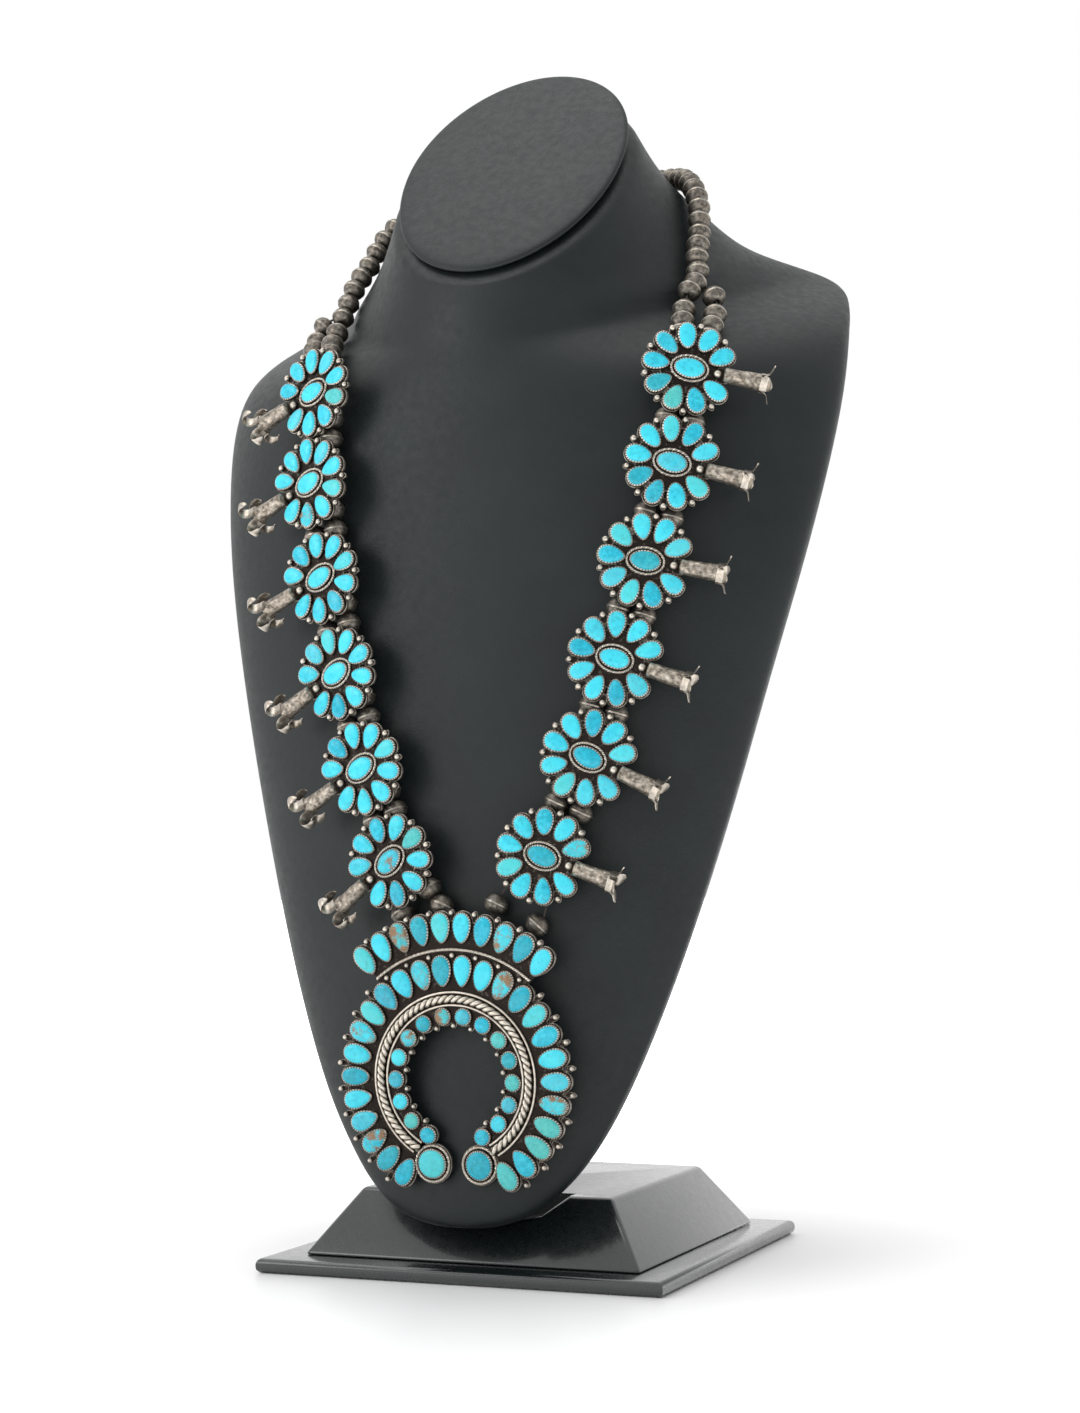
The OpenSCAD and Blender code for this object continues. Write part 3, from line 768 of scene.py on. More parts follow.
def frames_along(places: Sequence[Vector], ups: Sequence[Vector], closed: bool) -> list[Matrix]:
    """Frames square to a line through places.

    Args:
        places: The places in turn.
        ups: Direction of each frame's x axis.
        closed: Whether the last place leads back to the first.

    Returns:
        One matrix per place.
    """
    n = len(places)
    made = []
    for i, place in enumerate(places):
        before = places[(i - 1) % n] if closed else places[max(i - 1, 0)]
        after = places[(i + 1) % n] if closed else places[min(i + 1, n - 1)]
        made.append(stand(place, after - before, ups[i]))
    return made


class SilverWork(Piece):
    """Soldered silver. Every corner carries how bare its metal is, and how dark its oxide and painted shade
    are.
    """

    def outline(self, seat: Seat, count: int, rows: Sequence[tuple[float, float, float]],
                closed: bool) -> tuple[Form, list[list[BMVert]]]:
        """Solid whose rings follow a seat's outline, each grown, raised, and given a bareness that oxide and
        painted shade lower.

        Args:
            seat: The seat.
            count: Corners of each ring.
            rows: Growth, height and bareness of each ring, low where oxide and painted shade darken it.
            closed: Whether the last ring joins the first, as round a wall.

        Returns:
            The form in the seat's own frame, and the corners of each ring.
        """
        form = Form()
        rings = form.stack(count, [seat.edge(grow, height) for grow, height, _ in rows], closed)
        for ring, (_, _, wear) in zip(rings, rows):
            for v in ring:
                v[form.wear] = wear
        return form, rings

    def lobe(self, seat: Seat, rim: float, low: float, high: float, count: int = 24) -> None:
        """Part of a back plate under one seat.

        Args:
            seat: The seat, whose outline the plate follows.
            rim: How far the plate reaches beyond it.
            low: Height of its underside.
            high: Height of its top.
            count: Corners of its outline.
        """
        edge = 0.12 * MM
        # Dark face and bright rim: oxide and painted shade on the plate between the stones, bare metal at
        # the rim.
        form, _ = self.outline(seat, count, [
            (rim - edge, low, 0.1),
            (rim, low + edge, 0.4),
            (rim, high - edge, 0.8),
            (rim - edge, high, 0.35),
            (rim - 3 * edge, high, 0.08),
        ], closed=False)
        self.add(form, seat.frame)

    def bezel(self, seat: Seat, face: float, height: float) -> None:
        """Serrated wall round a stone, its teeth pressed over the stone's edge.

        Args:
            seat: The seat.
            face: Height of the plate's face.
            height: Height of the wall.
        """
        pitch = 0.95 * MM
        wall = 0.36 * MM
        lean = 0.42 * MM
        teeth = max(14, round(seat.round_about() / pitch))
        # Dark at the foot and in the notches, bright at the tooth tips: oxide and painted shade low down,
        # bare metal and painted highlight on the tips.
        form, rings = self.outline(seat, 2 * teeth, [
            (0.0, face - 0.2 * MM, 0.0),
            (0.0, face + 0.35 * height, 0.3),
            (-0.05 * MM, face + 0.8 * height, 0.8),
            (-0.25 * MM, face + height, 1.0),
            (-wall - 0.1 * MM, face + 0.72 * height, 0.1),
            (-wall, face - 0.2 * MM, 0.0),
        ], closed=True)
        # Notches sink and darken: oxide and painted shade between the teeth.
        for v in rings[3]:
            if v[form.order] % 2:
                v.co.x *= 1 - lean / (seat.length / 2)
                v.co.y *= 1 - lean / (seat.width / 2)
                v.co.z += 0.1 * height
            else:
                v.co.z -= 0.24 * height
                v[form.wear] = 0.12
        for v in rings[2]:
            if v[form.order] % 2 == 0:
                v.co.z -= 0.12 * height
                v[form.wear] = 0.25
        self.add(form, seat.frame)

    def drop(self, radius: float, at: Matrix) -> None:
        """Small ball of silver, darker towards its foot: oxide and painted shade under it.

        Args:
            radius: The ball's radius.
            at: Frame whose origin is the ball's middle.
        """
        form = Form()
        bmesh.ops.create_uvsphere(form.bm, u_segments=14, v_segments=9, radius=radius)
        # Darker towards the foot: oxide and painted shade under the ball.
        self.add(form.wear_and_shade_by(lambda co: 0.3 + 0.6 * co.z / radius), at)

    def wire(self, bend: Bend, radius: float, at: Matrix, step: float = 1.2 * MM) -> None:
        """Plain round wire along a flat curve, darker where it meets the plate: oxide and painted shade.

        Args:
            bend: The curve.
            radius: The wire's radius.
            at: Frame that the curve lies in.
            step: Length of each facet.
        """
        angles, _ = bend.evenly(step)
        places = [bend.point(a) for a in angles]
        form = Form()
        line = frames_along(places, [Vector((0, 0, 1))] * len(places), bend.closed)
        form.sweep(line, radius, radius, 10, bend.closed)
        # Darker towards the plate: oxide and painted shade where wire and plate meet.
        self.add(form.wear_and_shade_by(lambda co: 0.4 + 0.5 * (co.z - bend.height) / radius), at)

    def twist(self, bend: Bend, radius: float, pitch: float, at: Matrix, sides: int = 6,
              per_turn: int = 7) -> None:
        """Two round wires twisted about each other along a flat curve.

        Args:
            bend: The curve of their common axis.
            radius: Radius of the whole twist.
            pitch: Length of one full turn.
            at: Frame that the curve lies in.
            sides: Sides of each wire.
            per_turn: Rings in each full turn.
        """
        angles, length = bend.evenly(pitch / per_turn)
        turns = max(1, round(length / pitch))
        steps = len(angles) if bend.closed else len(angles) - 1
        thick = 0.56 * radius
        for strand in (0.0, math.pi):
            asides = []
            for i, a in enumerate(angles):
                phase = strand + TAU * turns * i / steps
                asides.append(bend.outward(a) * math.cos(phase) + Vector((0, 0, math.sin(phase))))
            places = [bend.point(a) + aside * (radius - thick) for a, aside in zip(angles, asides)]
            form = Form()
            rings = form.sweep(frames_along(places, asides, bend.closed), thick, thick, sides, bend.closed)
            # Dark where the two wires meet, bright on their outer sides: oxide and painted shade in the
            # crevice.
            for ring, a in zip(rings, angles):
                middle = bend.point(a)
                for v in ring:
                    v[form.wear] = min(1.0, max(0.0, 2.2 * ((v.co - middle).length / radius - 0.45)))
            self.add(form, at)


class StoneWork(Piece):
    """Polished stones. Every corner carries its stone's tone."""

    def cabochon(self, seat: Seat, gem: Gem, face: float, height: float, draw: random.Random) -> None:
        """Smooth low dome that fills its bezel.

        Args:
            seat: The seat.
            gem: The kind of turquoise.
            face: Height of the plate's face.
            height: Height of the dome's top over it.
            draw: The source of its small differences.
        """
        green, deep, matrix = gem.value
        tone = (min(1.0, max(0.0, green + draw.uniform(-0.10, 0.12))),
                min(1.0, max(0.0, deep + draw.uniform(-0.15, 0.15))),
                draw.randrange(3, 400) + min(0.95, max(0.0, matrix + draw.uniform(-0.02, 0.04))))
        wall = 0.42 * MM
        rise = height * draw.uniform(0.94, 1.0)
        rows = [(1.0, 0.06), (1.0, 0.55), (0.955, 0.74), (0.86, 0.86), (0.68, 0.945), (0.42, 0.985)]
        inner = replace(seat, length=seat.length - 2 * wall, width=seat.width - 2 * wall)
        form = Form()
        form.stack(30, [inner.edge(0.0, face + up * rise, share) for share, up in rows], closed=False)
        top = max(form.bm.faces, key=lambda f: f.calc_center_median().z)
        for v in bmesh.ops.poke(form.bm, faces=[top])["verts"]:
            v.co.z = face + rise
        for v in form.bm.verts:
            v[form.tone] = tone
        self.add(form, seat.frame)


@dataclass
class Dressing:
    """The finishes that the pieces share."""

    leatherette: Material
    smooth: Material
    silver: Material
    stamped: Material
    plain: Material
    bead: Material
    turquoise: Material
    thread: Material


@dataclass
class Blossom:
    """One blossom: nine petals and an oval on a lobed plate, with a hollow tube and a drilled bar."""

    side: Side
    number: int
    gems: str
    bar_ahead: Vector
    plate_t: float = 1.2 * MM
    stone_clear: float = 0.1 * MM
    petals: int = 9
    petal_first: float = 31.0
    petal_at: float = 11.8 * MM
    petal_len: float = 9.7 * MM
    petal_wid: float = 6.5 * MM
    petal_swell: float = 0.28
    centre_len: float = 11.2 * MM
    centre_wid: float = 7.4 * MM
    collar: float = 0.85 * MM
    collar_r: float = 0.5 * MM
    collar_pitch: float = 1.75 * MM
    bezel_h: float = 1.4 * MM
    stone_h: float = 2.2 * MM
    ball_r: float = 1.1 * MM
    ball_at: float = 15.6 * MM
    root_ball_r: float = 1.5 * MM
    root_ball_at: float = 9.9 * MM
    rim: float = 0.3 * MM
    tube_axis: float = 2.5 * MM
    tube_root: float = 12 * MM
    tube_end: float = 27 * MM
    tube_r0: float = 2.65 * MM
    tube_r1: float = 3.3 * MM
    tube_wall: float = 0.45 * MM
    dent: float = 0.16 * MM
    dents_per_m: float = 420
    bar: tuple[float, float, float] = (13.5 * MM, 3 * MM, 6 * MM)
    bore_at: float = 4.6 * MM
    bore_depth: float = 4.8 * MM
    bore_r: float = 0.8 * MM
    notch: float = 1.7 * MM
    sepal_turn: float = math.radians(24)
    sepal_wid: float = 4.6 * MM
    sepal_t: float = 0.5 * MM
    sepal_lap: float = 1.6 * MM

    def petal_angle(self, i: float) -> float:
        """Angle in degrees of a petal, or of the place between two where i lies between their numbers."""
        return self.petal_first + (360 - 2 * self.petal_first) / (self.petals - 1) * i

    def build(self, dress: Dressing) -> tuple[Object, Object]:
        """Build the blossom's silver and its stones.

        Args:
            dress: The finishes.

        Returns:
            The silver piece and the stones' piece.
        """
        key = f"{self.side.value}{self.number}"
        base = row_frame(f"stones_{key}", self.petals, self.plate_t + self.stone_clear)
        draw = random.Random(f"blossom {key}")
        metal = SilverWork(f"blossom_silver_{key}", Slot.SILVER, [f"blossom_{key}"], dress.silver,
                           dress.stamped)
        stones = StoneWork(f"blossom_turquoise_{key}", Slot.TURQUOISE, [f"stones_{key}"], dress.turquoise)
        petals = [Seat(base @ polar(self.petal_at, self.petal_angle(i)), self.petal_len, self.petal_wid,
                       self.petal_swell) for i in range(self.petals)]
        centre = Seat(base, self.centre_len, self.centre_wid, 0.06)
        self.plate(metal, base, petals)
        for seat, letter in zip([*petals, centre], self.gems):
            cut = seat.varied(draw)
            metal.bezel(cut, self.plate_t, self.bezel_h)
            stones.cabochon(cut, GEM_LETTERS[letter], self.plate_t, self.stone_h, draw)
        half_x, half_y = self.centre_len / 2 + self.collar, self.centre_wid / 2 + self.collar
        metal.twist(Bend(half_x, half_y, self.plate_t + 0.45 * MM), self.collar_r, self.collar_pitch, base)
        for i in range(self.petals - 1):
            at = polar(self.ball_at, self.petal_angle(i + 0.5), self.plate_t + 0.4 * self.ball_r)
            metal.drop(self.ball_r * draw.uniform(0.9, 1.05), base @ at)
        root = polar(self.root_ball_at, 0, self.plate_t + 0.4 * self.root_ball_r)
        metal.drop(self.root_ball_r, base @ root)
        self.back_bar(metal, base)
        self.tube(metal, base)
        return metal.finish(), stones.finish()

    def plate(self, metal: SilverWork, base: Matrix, petals: Sequence[Seat]) -> None:
        """Lobed back plate, with a pad under each ball and under the tube.

        Args:
            metal: The silver in the making.
            base: The blossom's frame.
            petals: The seats of the petals.
        """
        hair = 0.02 * MM
        disc = 2 * self.petal_at - 3.2 * MM
        metal.lobe(Seat(base, disc, disc), 0.0, 0.0, self.plate_t, 48)
        for i, seat in enumerate(petals):
            metal.lobe(seat, self.rim, hair, self.plate_t - hair * (1 + i % 2))
        for i in range(self.petals - 1):
            pad = Seat(base @ polar(self.ball_at - 0.9 * MM, self.petal_angle(i + 0.5)),
                       2 * self.ball_r + 1.9 * MM, 2 * self.ball_r)
            metal.lobe(pad, 0.15 * MM, 2 * hair, self.plate_t - 3 * hair, 18)
        root = Seat(base @ polar(self.petal_at, 0), 6.6 * MM, 2 * self.tube_r0)
        metal.lobe(root, 0.1 * MM, 3 * hair, self.plate_t - 4 * hair, 18)

    def tube(self, metal: SilverWork, base: Matrix) -> None:
        """Hollow tube of the blossom, its mouth cut into four thin sepals that bend away.

        Args:
            metal: The silver in the making.
            base: The blossom's frame.
        """
        wall, steps = self.tube_wall, 14
        length = self.tube_end - self.tube_root
        slope = self.tube_r1 - self.tube_r0
        outer = [(0.0, 0.0), (0.72 * self.tube_r0, 0.0), (0.95 * self.tube_r0, 0.35 * MM)]
        outer += [(self.tube_r0 + slope * (i / steps) ** 1.5, 0.9 * MM + (length - 0.9 * MM) * i / steps)
                  for i in range(steps + 1)]
        inner = [(self.tube_r1 - wall, length), (self.tube_r1 - wall, 0.8 * length),
                 (self.tube_r0 - wall, 0.45 * length), (0.0, 0.4 * length)]
        form = Form()
        form.turned(outer + inner, 32)
        hollow = self.tube_r0 - 0.7 * wall
        # Dark inside the hollow: oxide and painted shade.
        form.wear_and_shade_by(lambda co: 0.1 if co.xy.length < hollow and co.z > 0.3 * length else 0.6)
        for v in form.bm.verts:
            reach = math.hypot(v.co.x, v.co.y)
            if reach < 0.3 * MM:
                continue
            at_mouth = max(0.0, v.co.z / length - 0.72) / 0.28
            between = 0.5 - 0.5 * math.cos(4 * (math.atan2(v.co.y, v.co.x) - self.sepal_turn))
            here = v.co * self.dents_per_m + Vector((self.number, 0, 0))
            out = noise.noise(here) * self.dent - 0.05 * MM
            v.co.x *= 1 + out / reach
            v.co.y *= 1 + out / reach
            v.co.z -= self.notch * between**2 * at_mouth**2
        root = base @ Matrix.Translation((self.tube_root, 0, self.tube_axis))
        lie = root @ Matrix.Rotation(math.pi / 2, 4, "Y")
        metal.add(form, lie, 1)
        for k in range(4):
            turn = math.pi / 2 * k + self.sepal_turn
            self.sepal(metal, lie @ Matrix.Rotation(turn, 4, "Z"), CURLS[self.side])

    def sepal(self, metal: SilverWork, lie: Matrix, curl: Curl) -> None:
        """Thin pointed leaf at the mouth that bends outwards.

        Args:
            metal: The silver in the making.
            lie: Frame of the tube, turned to this sepal.
            curl: How it bends.
        """
        lap, bend_r, bent = self.sepal_lap, curl.bend_r, math.radians(curl.degrees)
        start = self.tube_end - self.tube_root - 0.6 * MM
        arc = bend_r * bent
        whole = lap + arc + curl.tail
        line = []
        steps = max(10, round(whole / (0.6 * MM)))
        for i in range(steps + 1):
            run = whole * i / steps
            turn = bent * min(1.0, max(0.0, (run - lap) / arc))
            on = max(0.0, run - lap - arc)
            spot = Vector((self.tube_r1 - 0.2 * MM + bend_r * (1 - math.cos(turn)) + on * math.sin(turn), 0,
                           start + min(0.0, run - lap) + bend_r * math.sin(turn) + on * math.cos(turn)))
            share = 0.06 + 0.94 * math.sin(math.pi * (0.42 + 0.58 * i / steps)) ** 0.4
            square = Matrix.Translation(spot) @ Matrix.Rotation(turn, 4, "Y")
            line.append(lie @ square @ Matrix.Diagonal((1.0, share, 1.0, 1.0)))
        form = Form()
        form.sweep(line, self.sepal_t / 2, self.sepal_wid / 2, 8)
        metal.add(form.wear_and_shade_by(lambda _: 0.75), Matrix.Identity(4))

    def back_bar(self, metal: SilverWork, base: Matrix) -> None:
        """Drilled bar behind the plate that both strings pass through.

        Args:
            metal: The silver in the making.
            base: The blossom's frame.
        """
        width, thick, deep = self.bar
        out = base.to_3x3() @ Vector((0, 0, 1))
        along = (self.bar_ahead - out * self.bar_ahead.dot(out)).normalized()
        low, high = -0.2 * MM, deep
        form = Form()
        verts, edges = form.loop(16)
        rim, _ = form.raised(edges)
        for v in verts:
            v.co = Vector((self.bore_at, self.bore_depth, 0)) + v.co * self.bore_r
        for v in rim:
            t = TAU * v[form.order] / 16 + 1e-6
            side_x = (width / 2 if math.cos(t) > 0 else 0.0) - self.bore_at
            side_y = (high if math.sin(t) > 0 else low) - self.bore_depth
            span = min(side_x / math.cos(t), side_y / math.sin(t))
            v.co = (self.bore_at + span * math.cos(t), self.bore_depth + span * math.sin(t), 0)
        for x in (0.0, width / 2):
            for y in (low, high):
                min(rim, key=lambda v: (v.co - Vector((x, y, 0))).length).co = (x, y, 0)
        made = bmesh.ops.extrude_face_region(form.bm, geom=form.bm.faces[:], use_keep_orig=True)["geom"]
        bmesh.ops.translate(form.bm, vec=(0, 0, thick), verts=[g for g in made if isinstance(g, BMVert)])
        inside = [f for f in form.bm.faces if all(abs(v.co.x) < 0.001 * MM for v in f.verts)]
        bmesh.ops.delete(form.bm, geom=inside, context="FACES")
        whole = form.bm.verts[:] + form.bm.edges[:] + form.bm.faces[:]
        bmesh.ops.mirror(form.bm, geom=whole, axis="X", merge_dist=0.001 * MM)
        at = columns(along.cross(out), -out, along, base.translation)
        metal.add(form.wear_and_shade_by(lambda _: 0.3), at @ Matrix.Translation((0, 0, -thick / 2)))


@dataclass
class Naja:
    """The horseshoe pendant with its crest: four rows of stones, a rope between plain wires, and balls."""

    gems: dict[str, str]
    plate_t: float = 1.4 * MM
    stone_clear: float = 0.1 * MM
    inner_at: float = 21.8 * MM
    inner_d: float = 6.3 * MM
    inner_from: float = -62.25
    inner_step: float = 20.3
    rim_at: float = 37.3 * MM
    rim_from: float = -59.5
    rim_step: float = 11.96
    rim_n: int = 26
    crest_at: float = 52 * MM
    crest_half: float = 39.1
    crest_n: int = 10
    drop_len: float = 11.1 * MM
    drop_wid: float = 7.1 * MM
    drop_swell: float = 0.26
    tip_at: float = 30.3 * MM
    tip_angle: float = 16.8
    tip_d: float = 10.5 * MM
    bezel_h: float = 1.4 * MM
    stone_h: float = 2.2 * MM
    shoe_r: tuple[float, float] = (19.5 * MM, 40 * MM)
    shoe_half: float = 150
    crest_r: tuple[float, float] = (39.9 * MM, 54 * MM)
    inner_ball_at: float = 18.4 * MM
    inner_ball_r: float = 0.9 * MM
    rim_ball_at: float = 43.5 * MM
    covered_ball_at: float = 42.4 * MM
    rim_ball_r: float = 0.95 * MM
    crest_ball_at: float = 57 * MM
    crest_ball_r: float = 1.0 * MM
    rope_at: float = 27.6 * MM
    rope_r: float = 1.4 * MM
    rope_pitch: float = 4.9 * MM
    inner_wire_at: float = 25.4 * MM
    outer_wire_at: float = 29.8 * MM
    wire_r: float = 0.5 * MM
    wire_height: float = 0.35 * MM
    crest_wire_at: float = 44.4 * MM
    crest_wire_r: float = 0.6 * MM
    crest_wire_pitch: float = 1.7 * MM
    tip_ring_at: float = 6.15 * MM
    tip_ring_r: float = 0.55 * MM
    tip_ring_pitch: float = 1.5 * MM
    bail_x: float = 14 * MM
    bail_r: float = 2.6 * MM
    bail_wire_r: float = 0.65 * MM

    def build(self, dress: Dressing) -> tuple[Object, Object]:
        """Build the naja's silver and its stones.

        Args:
            dress: The finishes.

        Returns:
            The silver piece and the stones' piece.
        """
        down = row_frame("naja_rim_stones", self.rim_n, self.plate_t + self.stone_clear)
        base = down @ Matrix.Rotation(math.pi / 2, 4, "Z")
        draw = random.Random("naja")
        crest_step = 2 * self.crest_half / (self.crest_n - 1)
        crest = [90 - self.crest_half + crest_step * i for i in range(self.crest_n)]
        rim = [self.rim_from + self.rim_step * i for i in range(self.rim_n)]
        inner = [self.inner_from + self.inner_step * i for i in range(len(self.gems["inner"]))]
        tips = [-90 + s * self.tip_angle for s in (1, -1)]
        drop = (self.drop_len, self.drop_wid, self.drop_swell)
        rows = {
            "crest": [Seat(base @ polar(self.crest_at, a), *drop) for a in crest],
            "rim": [Seat(base @ polar(self.rim_at, a), *drop) for a in rim],
            "inner": [Seat(base @ polar(self.inner_at, a), self.inner_d, self.inner_d) for a in inner],
            "tips": [Seat(base @ polar(self.tip_at, a), self.tip_d, self.tip_d) for a in tips],
        }
        metal = SilverWork("naja_silver", Slot.SILVER, ["naja"], dress.silver)
        nodes = ["naja_crest_stones", "naja_rim_stones", "naja_inner_stones"]
        stones = StoneWork("naja_turquoise", Slot.TURQUOISE, nodes, dress.turquoise)
        self.plate(metal, base, rows["crest"] + rows["rim"] + rows["inner"], rows["tips"])
        for name, seats in rows.items():
            for seat, letter in zip(seats, self.gems[name]):
                cut = seat.varied(draw)
                metal.bezel(cut, self.plate_t, self.bezel_h)
                stones.cabochon(cut, GEM_LETTERS[letter], self.plate_t, self.stone_h, draw)
        self.wires(metal, base, rows["tips"])
        self.balls(metal, base, draw)
        for s in (-1, 1):
            self.bail(metal, base @ Matrix.Translation((s * self.bail_x, self.crest_at - 1 * MM, 0)))
        return metal.finish(), stones.finish()

    def band(self, metal: SilverWork, base: Matrix, inner: float, outer: float, reach: float,
             top: float) -> None:
        """Flat arc of the plate, even on both sides of the top.

        Args:
            metal: The silver in the making.
            base: The naja's frame.
            inner: Its inner radius.
            outer: Its outer radius.
            reach: How many degrees it runs to each side of the top.
            top: Height of its face.
        """
        edge = 0.12 * MM
        outline = [
            (inner, edge), (inner + edge, 0.0), (outer - edge, 0.0), (outer, edge),
            (outer, top - edge), (outer - edge, top), (inner + edge, top), (inner, top - edge),
        ]
        form = Form()
        form.turned(outline, max(8, round(reach / 2)), math.radians(2 * reach), outline=True)
        # Dark face and bright edges: oxide and painted shade on the face, bare metal at the edges.
        form.wear_and_shade_by(lambda co: 0.6 if min(co.xy.length - inner, outer - co.xy.length) < edge / 2 else 0.06)
        metal.add(form, base @ Matrix.Rotation(math.radians(90 - reach), 4, "Z"))

    def plate(self, metal: SilverWork, base: Matrix, seats: Sequence[Seat], tips: Sequence[Seat]) -> None:
        """Back plate: two bands, and lobes that follow the settings and the balls.

        Args:
            metal: The silver in the making.
            base: The naja's frame.
            seats: Seats of the three rows.
            tips: Seats of the two large stones.
        """
        hair = 0.015 * MM
        self.band(metal, base, *self.shoe_r, self.shoe_half, self.plate_t)
        self.band(metal, base, *self.crest_r, self.crest_half + 1, self.plate_t - hair)
        for i, seat in enumerate(seats):
            metal.lobe(seat, 0.3 * MM, hair * (1 + i % 2), self.plate_t - hair * (2 + i % 2))
        for seat in tips:
            metal.lobe(seat, 1.7 * MM, hair, self.plate_t - 4 * hair, 40)
        for reach, degrees, radius in self.ball_spots():
            neck = -0.9 * MM if reach > self.inner_ball_at else 0.9 * MM
            pad = Seat(base @ polar(reach + neck, degrees), 2 * radius + 1.8 * MM, 2 * radius)
            metal.lobe(pad, 0.15 * MM, 3 * hair, self.plate_t - 5 * hair, 16)

    def ball_spots(self) -> list[tuple[float, float, float]]:
        """Find where the balls of the three rows sit.

        Returns:
            Reach, angle in degrees and radius of each ball.
        """
        spots = [(self.inner_ball_at, self.inner_from + self.inner_step * (i + 0.5), self.inner_ball_r)
                 for i in range(len(self.gems["inner"]) - 1)]
        for i in range(self.rim_n - 1):
            degrees = self.rim_from + self.rim_step * (i + 0.5)
            under_crest = abs(degrees - 90) < self.crest_half + 2
            reach = self.covered_ball_at if under_crest else self.rim_ball_at
            spots.append((reach, degrees, self.rim_ball_r))
        step = 2 * self.crest_half / (self.crest_n - 1)
        return spots + [(self.crest_ball_at, 90 - self.crest_half + step * (i + 0.5), self.crest_ball_r)
                        for i in range(self.crest_n - 1)]

    def wires(self, metal: SilverWork, base: Matrix, tips: Sequence[Seat]) -> None:
        """The rope, the plain wires beside it, the crest's arc and the collars of the tips.

        Args:
            metal: The silver in the making.
            base: The naja's frame.
            tips: Seats of the two large stones.
        """

        def arc(radius: float, height: float, reach: float) -> Bend:
            """Arc even on both sides of the top."""
            start, turn = math.radians(90 - reach), math.radians(2 * reach)
            return Bend(radius, radius, self.plate_t + height, start, turn)

        metal.wire(arc(self.inner_wire_at, self.wire_height, self.shoe_half), self.wire_r, base)
        metal.wire(arc(self.outer_wire_at, self.wire_height, self.shoe_half - 2), self.wire_r, base)
        rope = arc(self.rope_at, 0.95 * MM, self.shoe_half)
        metal.twist(rope, self.rope_r, self.rope_pitch, base, sides=10, per_turn=12)
        across = arc(self.crest_wire_at, 0.45 * MM, self.crest_half + 1)
        metal.twist(across, self.crest_wire_r, self.crest_wire_pitch, base)
        for seat in tips:
            ring = Bend(self.tip_ring_at, self.tip_ring_at, self.plate_t + self.wire_height)
            metal.twist(ring, self.tip_ring_r, self.tip_ring_pitch, seat.frame)

    def balls(self, metal: SilverWork, base: Matrix, draw: random.Random) -> None:
        """Balls between the stones of each row.

        Args:
            metal: The silver in the making.
            base: The naja's frame.
            draw: The source of their small differences.
        """
        for reach, degrees, radius in self.ball_spots():
            at = base @ polar(reach, degrees, self.plate_t + 0.4 * radius)
            metal.drop(radius * draw.uniform(0.9, 1.06), at)

    def bail(self, metal: SilverWork, at: Matrix) -> None:
        """Wire eye at the back of the crest.

        Args:
            metal: The silver in the making.
            at: Frame at the eye's middle on the back of the plate.
        """
        eye = Bend(self.bail_r, self.bail_r, 0.0, math.radians(-100), math.radians(200))
        turn = at @ Matrix.Rotation(math.pi / 2, 4, "Y")
        metal.wire(eye, self.bail_wire_r, turn, step=0.6 * MM)


@dataclass
class BeadStrings:
    """The hollow beads of the three strings, each two domes soldered at a raised seam."""

    profile: tuple[tuple[float, float], ...] = (
        (0.95, 3.15), (1.15, 3.3), (1.8, 3.3), (2.75, 2.82), (3.4, 2.2),
        (3.86, 1.45), (4.08, 0.72), (4.12, 0.42), (4.3, 0.3),
    )
    sides: int = 18
    gap_low: float = 150 * MM
    gap_high: float = 305 * MM
    gap_step: float = 7.4 * MM
    above_join: float = 4.0 * MM
    below_join: float = 2.85 * MM
    seam: float = 0.35 * MM
    up: tuple[float, float, float] = (0.3, 1.0, 0.2)

    def places(self, node: str) -> list[Matrix]:
        """Frame of each bead of a node, its z axis along the string.

        Args:
            node: The frame node.

        Returns:
            One matrix per bead, and two more for the hidden neighbours of each bead between two blossoms.
        """
        found = []
        for part in loose_parts(node):
            middle = part.mean(axis=0)
            reach = np.linalg.norm(part - middle, axis=1)
            mouths = part[reach < reach.min() + 0.1 * MM] - middle
            axis = Vector(np.linalg.svd(mouths, full_matrices=False)[2][0])
            here = stand(Vector(middle), axis, Vector(self.up))
            found.append(here)
            if node != "beads_nape" and self.gap_low < middle[2] < self.gap_high:
                found += [here @ Matrix.Translation((0, 0, s * self.gap_step)) for s in (-1, 1)]
        return found

    def joining(self, node: str) -> list[Matrix]:
        """Frames of the two beads that hide the ring where two strings become one.

        Args:
            node: The ring's frame node.

        Returns:
            One matrix on the way to the nape string, and one on the way to the inner string.
        """
        ring = Vector(loose_parts(node)[0].mean(axis=0))
        found = []
        for string, reach in (("beads_nape", self.above_join), ("beads_inner", self.below_join)):
            beads = [Vector(part.mean(axis=0)) for part in loose_parts(string)]
            way = (min(beads, key=lambda bead: (bead - ring).length) - ring).normalized()
            found.append(stand(ring + way * reach, way, Vector(self.up)))
        return found

    def build(self, node: str, name: str, dress: Dressing) -> Object:
        """Build one string of beads, or the beads over one ring.

        Args:
            node: The frame node that it replaces.
            name: The piece's name.
            dress: The finishes.

        Returns:
            The new object.
        """
        metal = SilverWork(name, Slot.BEAD, [node], dress.bead)
        half = [(r * MM, h * MM) for r, h in self.profile]
        outline = half + [(r, -h) for r, h in reversed(half)]
        draw = random.Random(node)
        places = self.joining(node) if node.startswith("ring") else self.places(node)
        for place in places:
            form = Form()
            form.turned(outline, self.sides, outline=True)
            form.wear_and_shade_by(lambda co: 0.85 if abs(co.z) < self.seam else 0.42)
            metal.add(form, place @ Matrix.Rotation(draw.uniform(0, TAU), 4, "Z"))
        return metal.finish(crease=50)


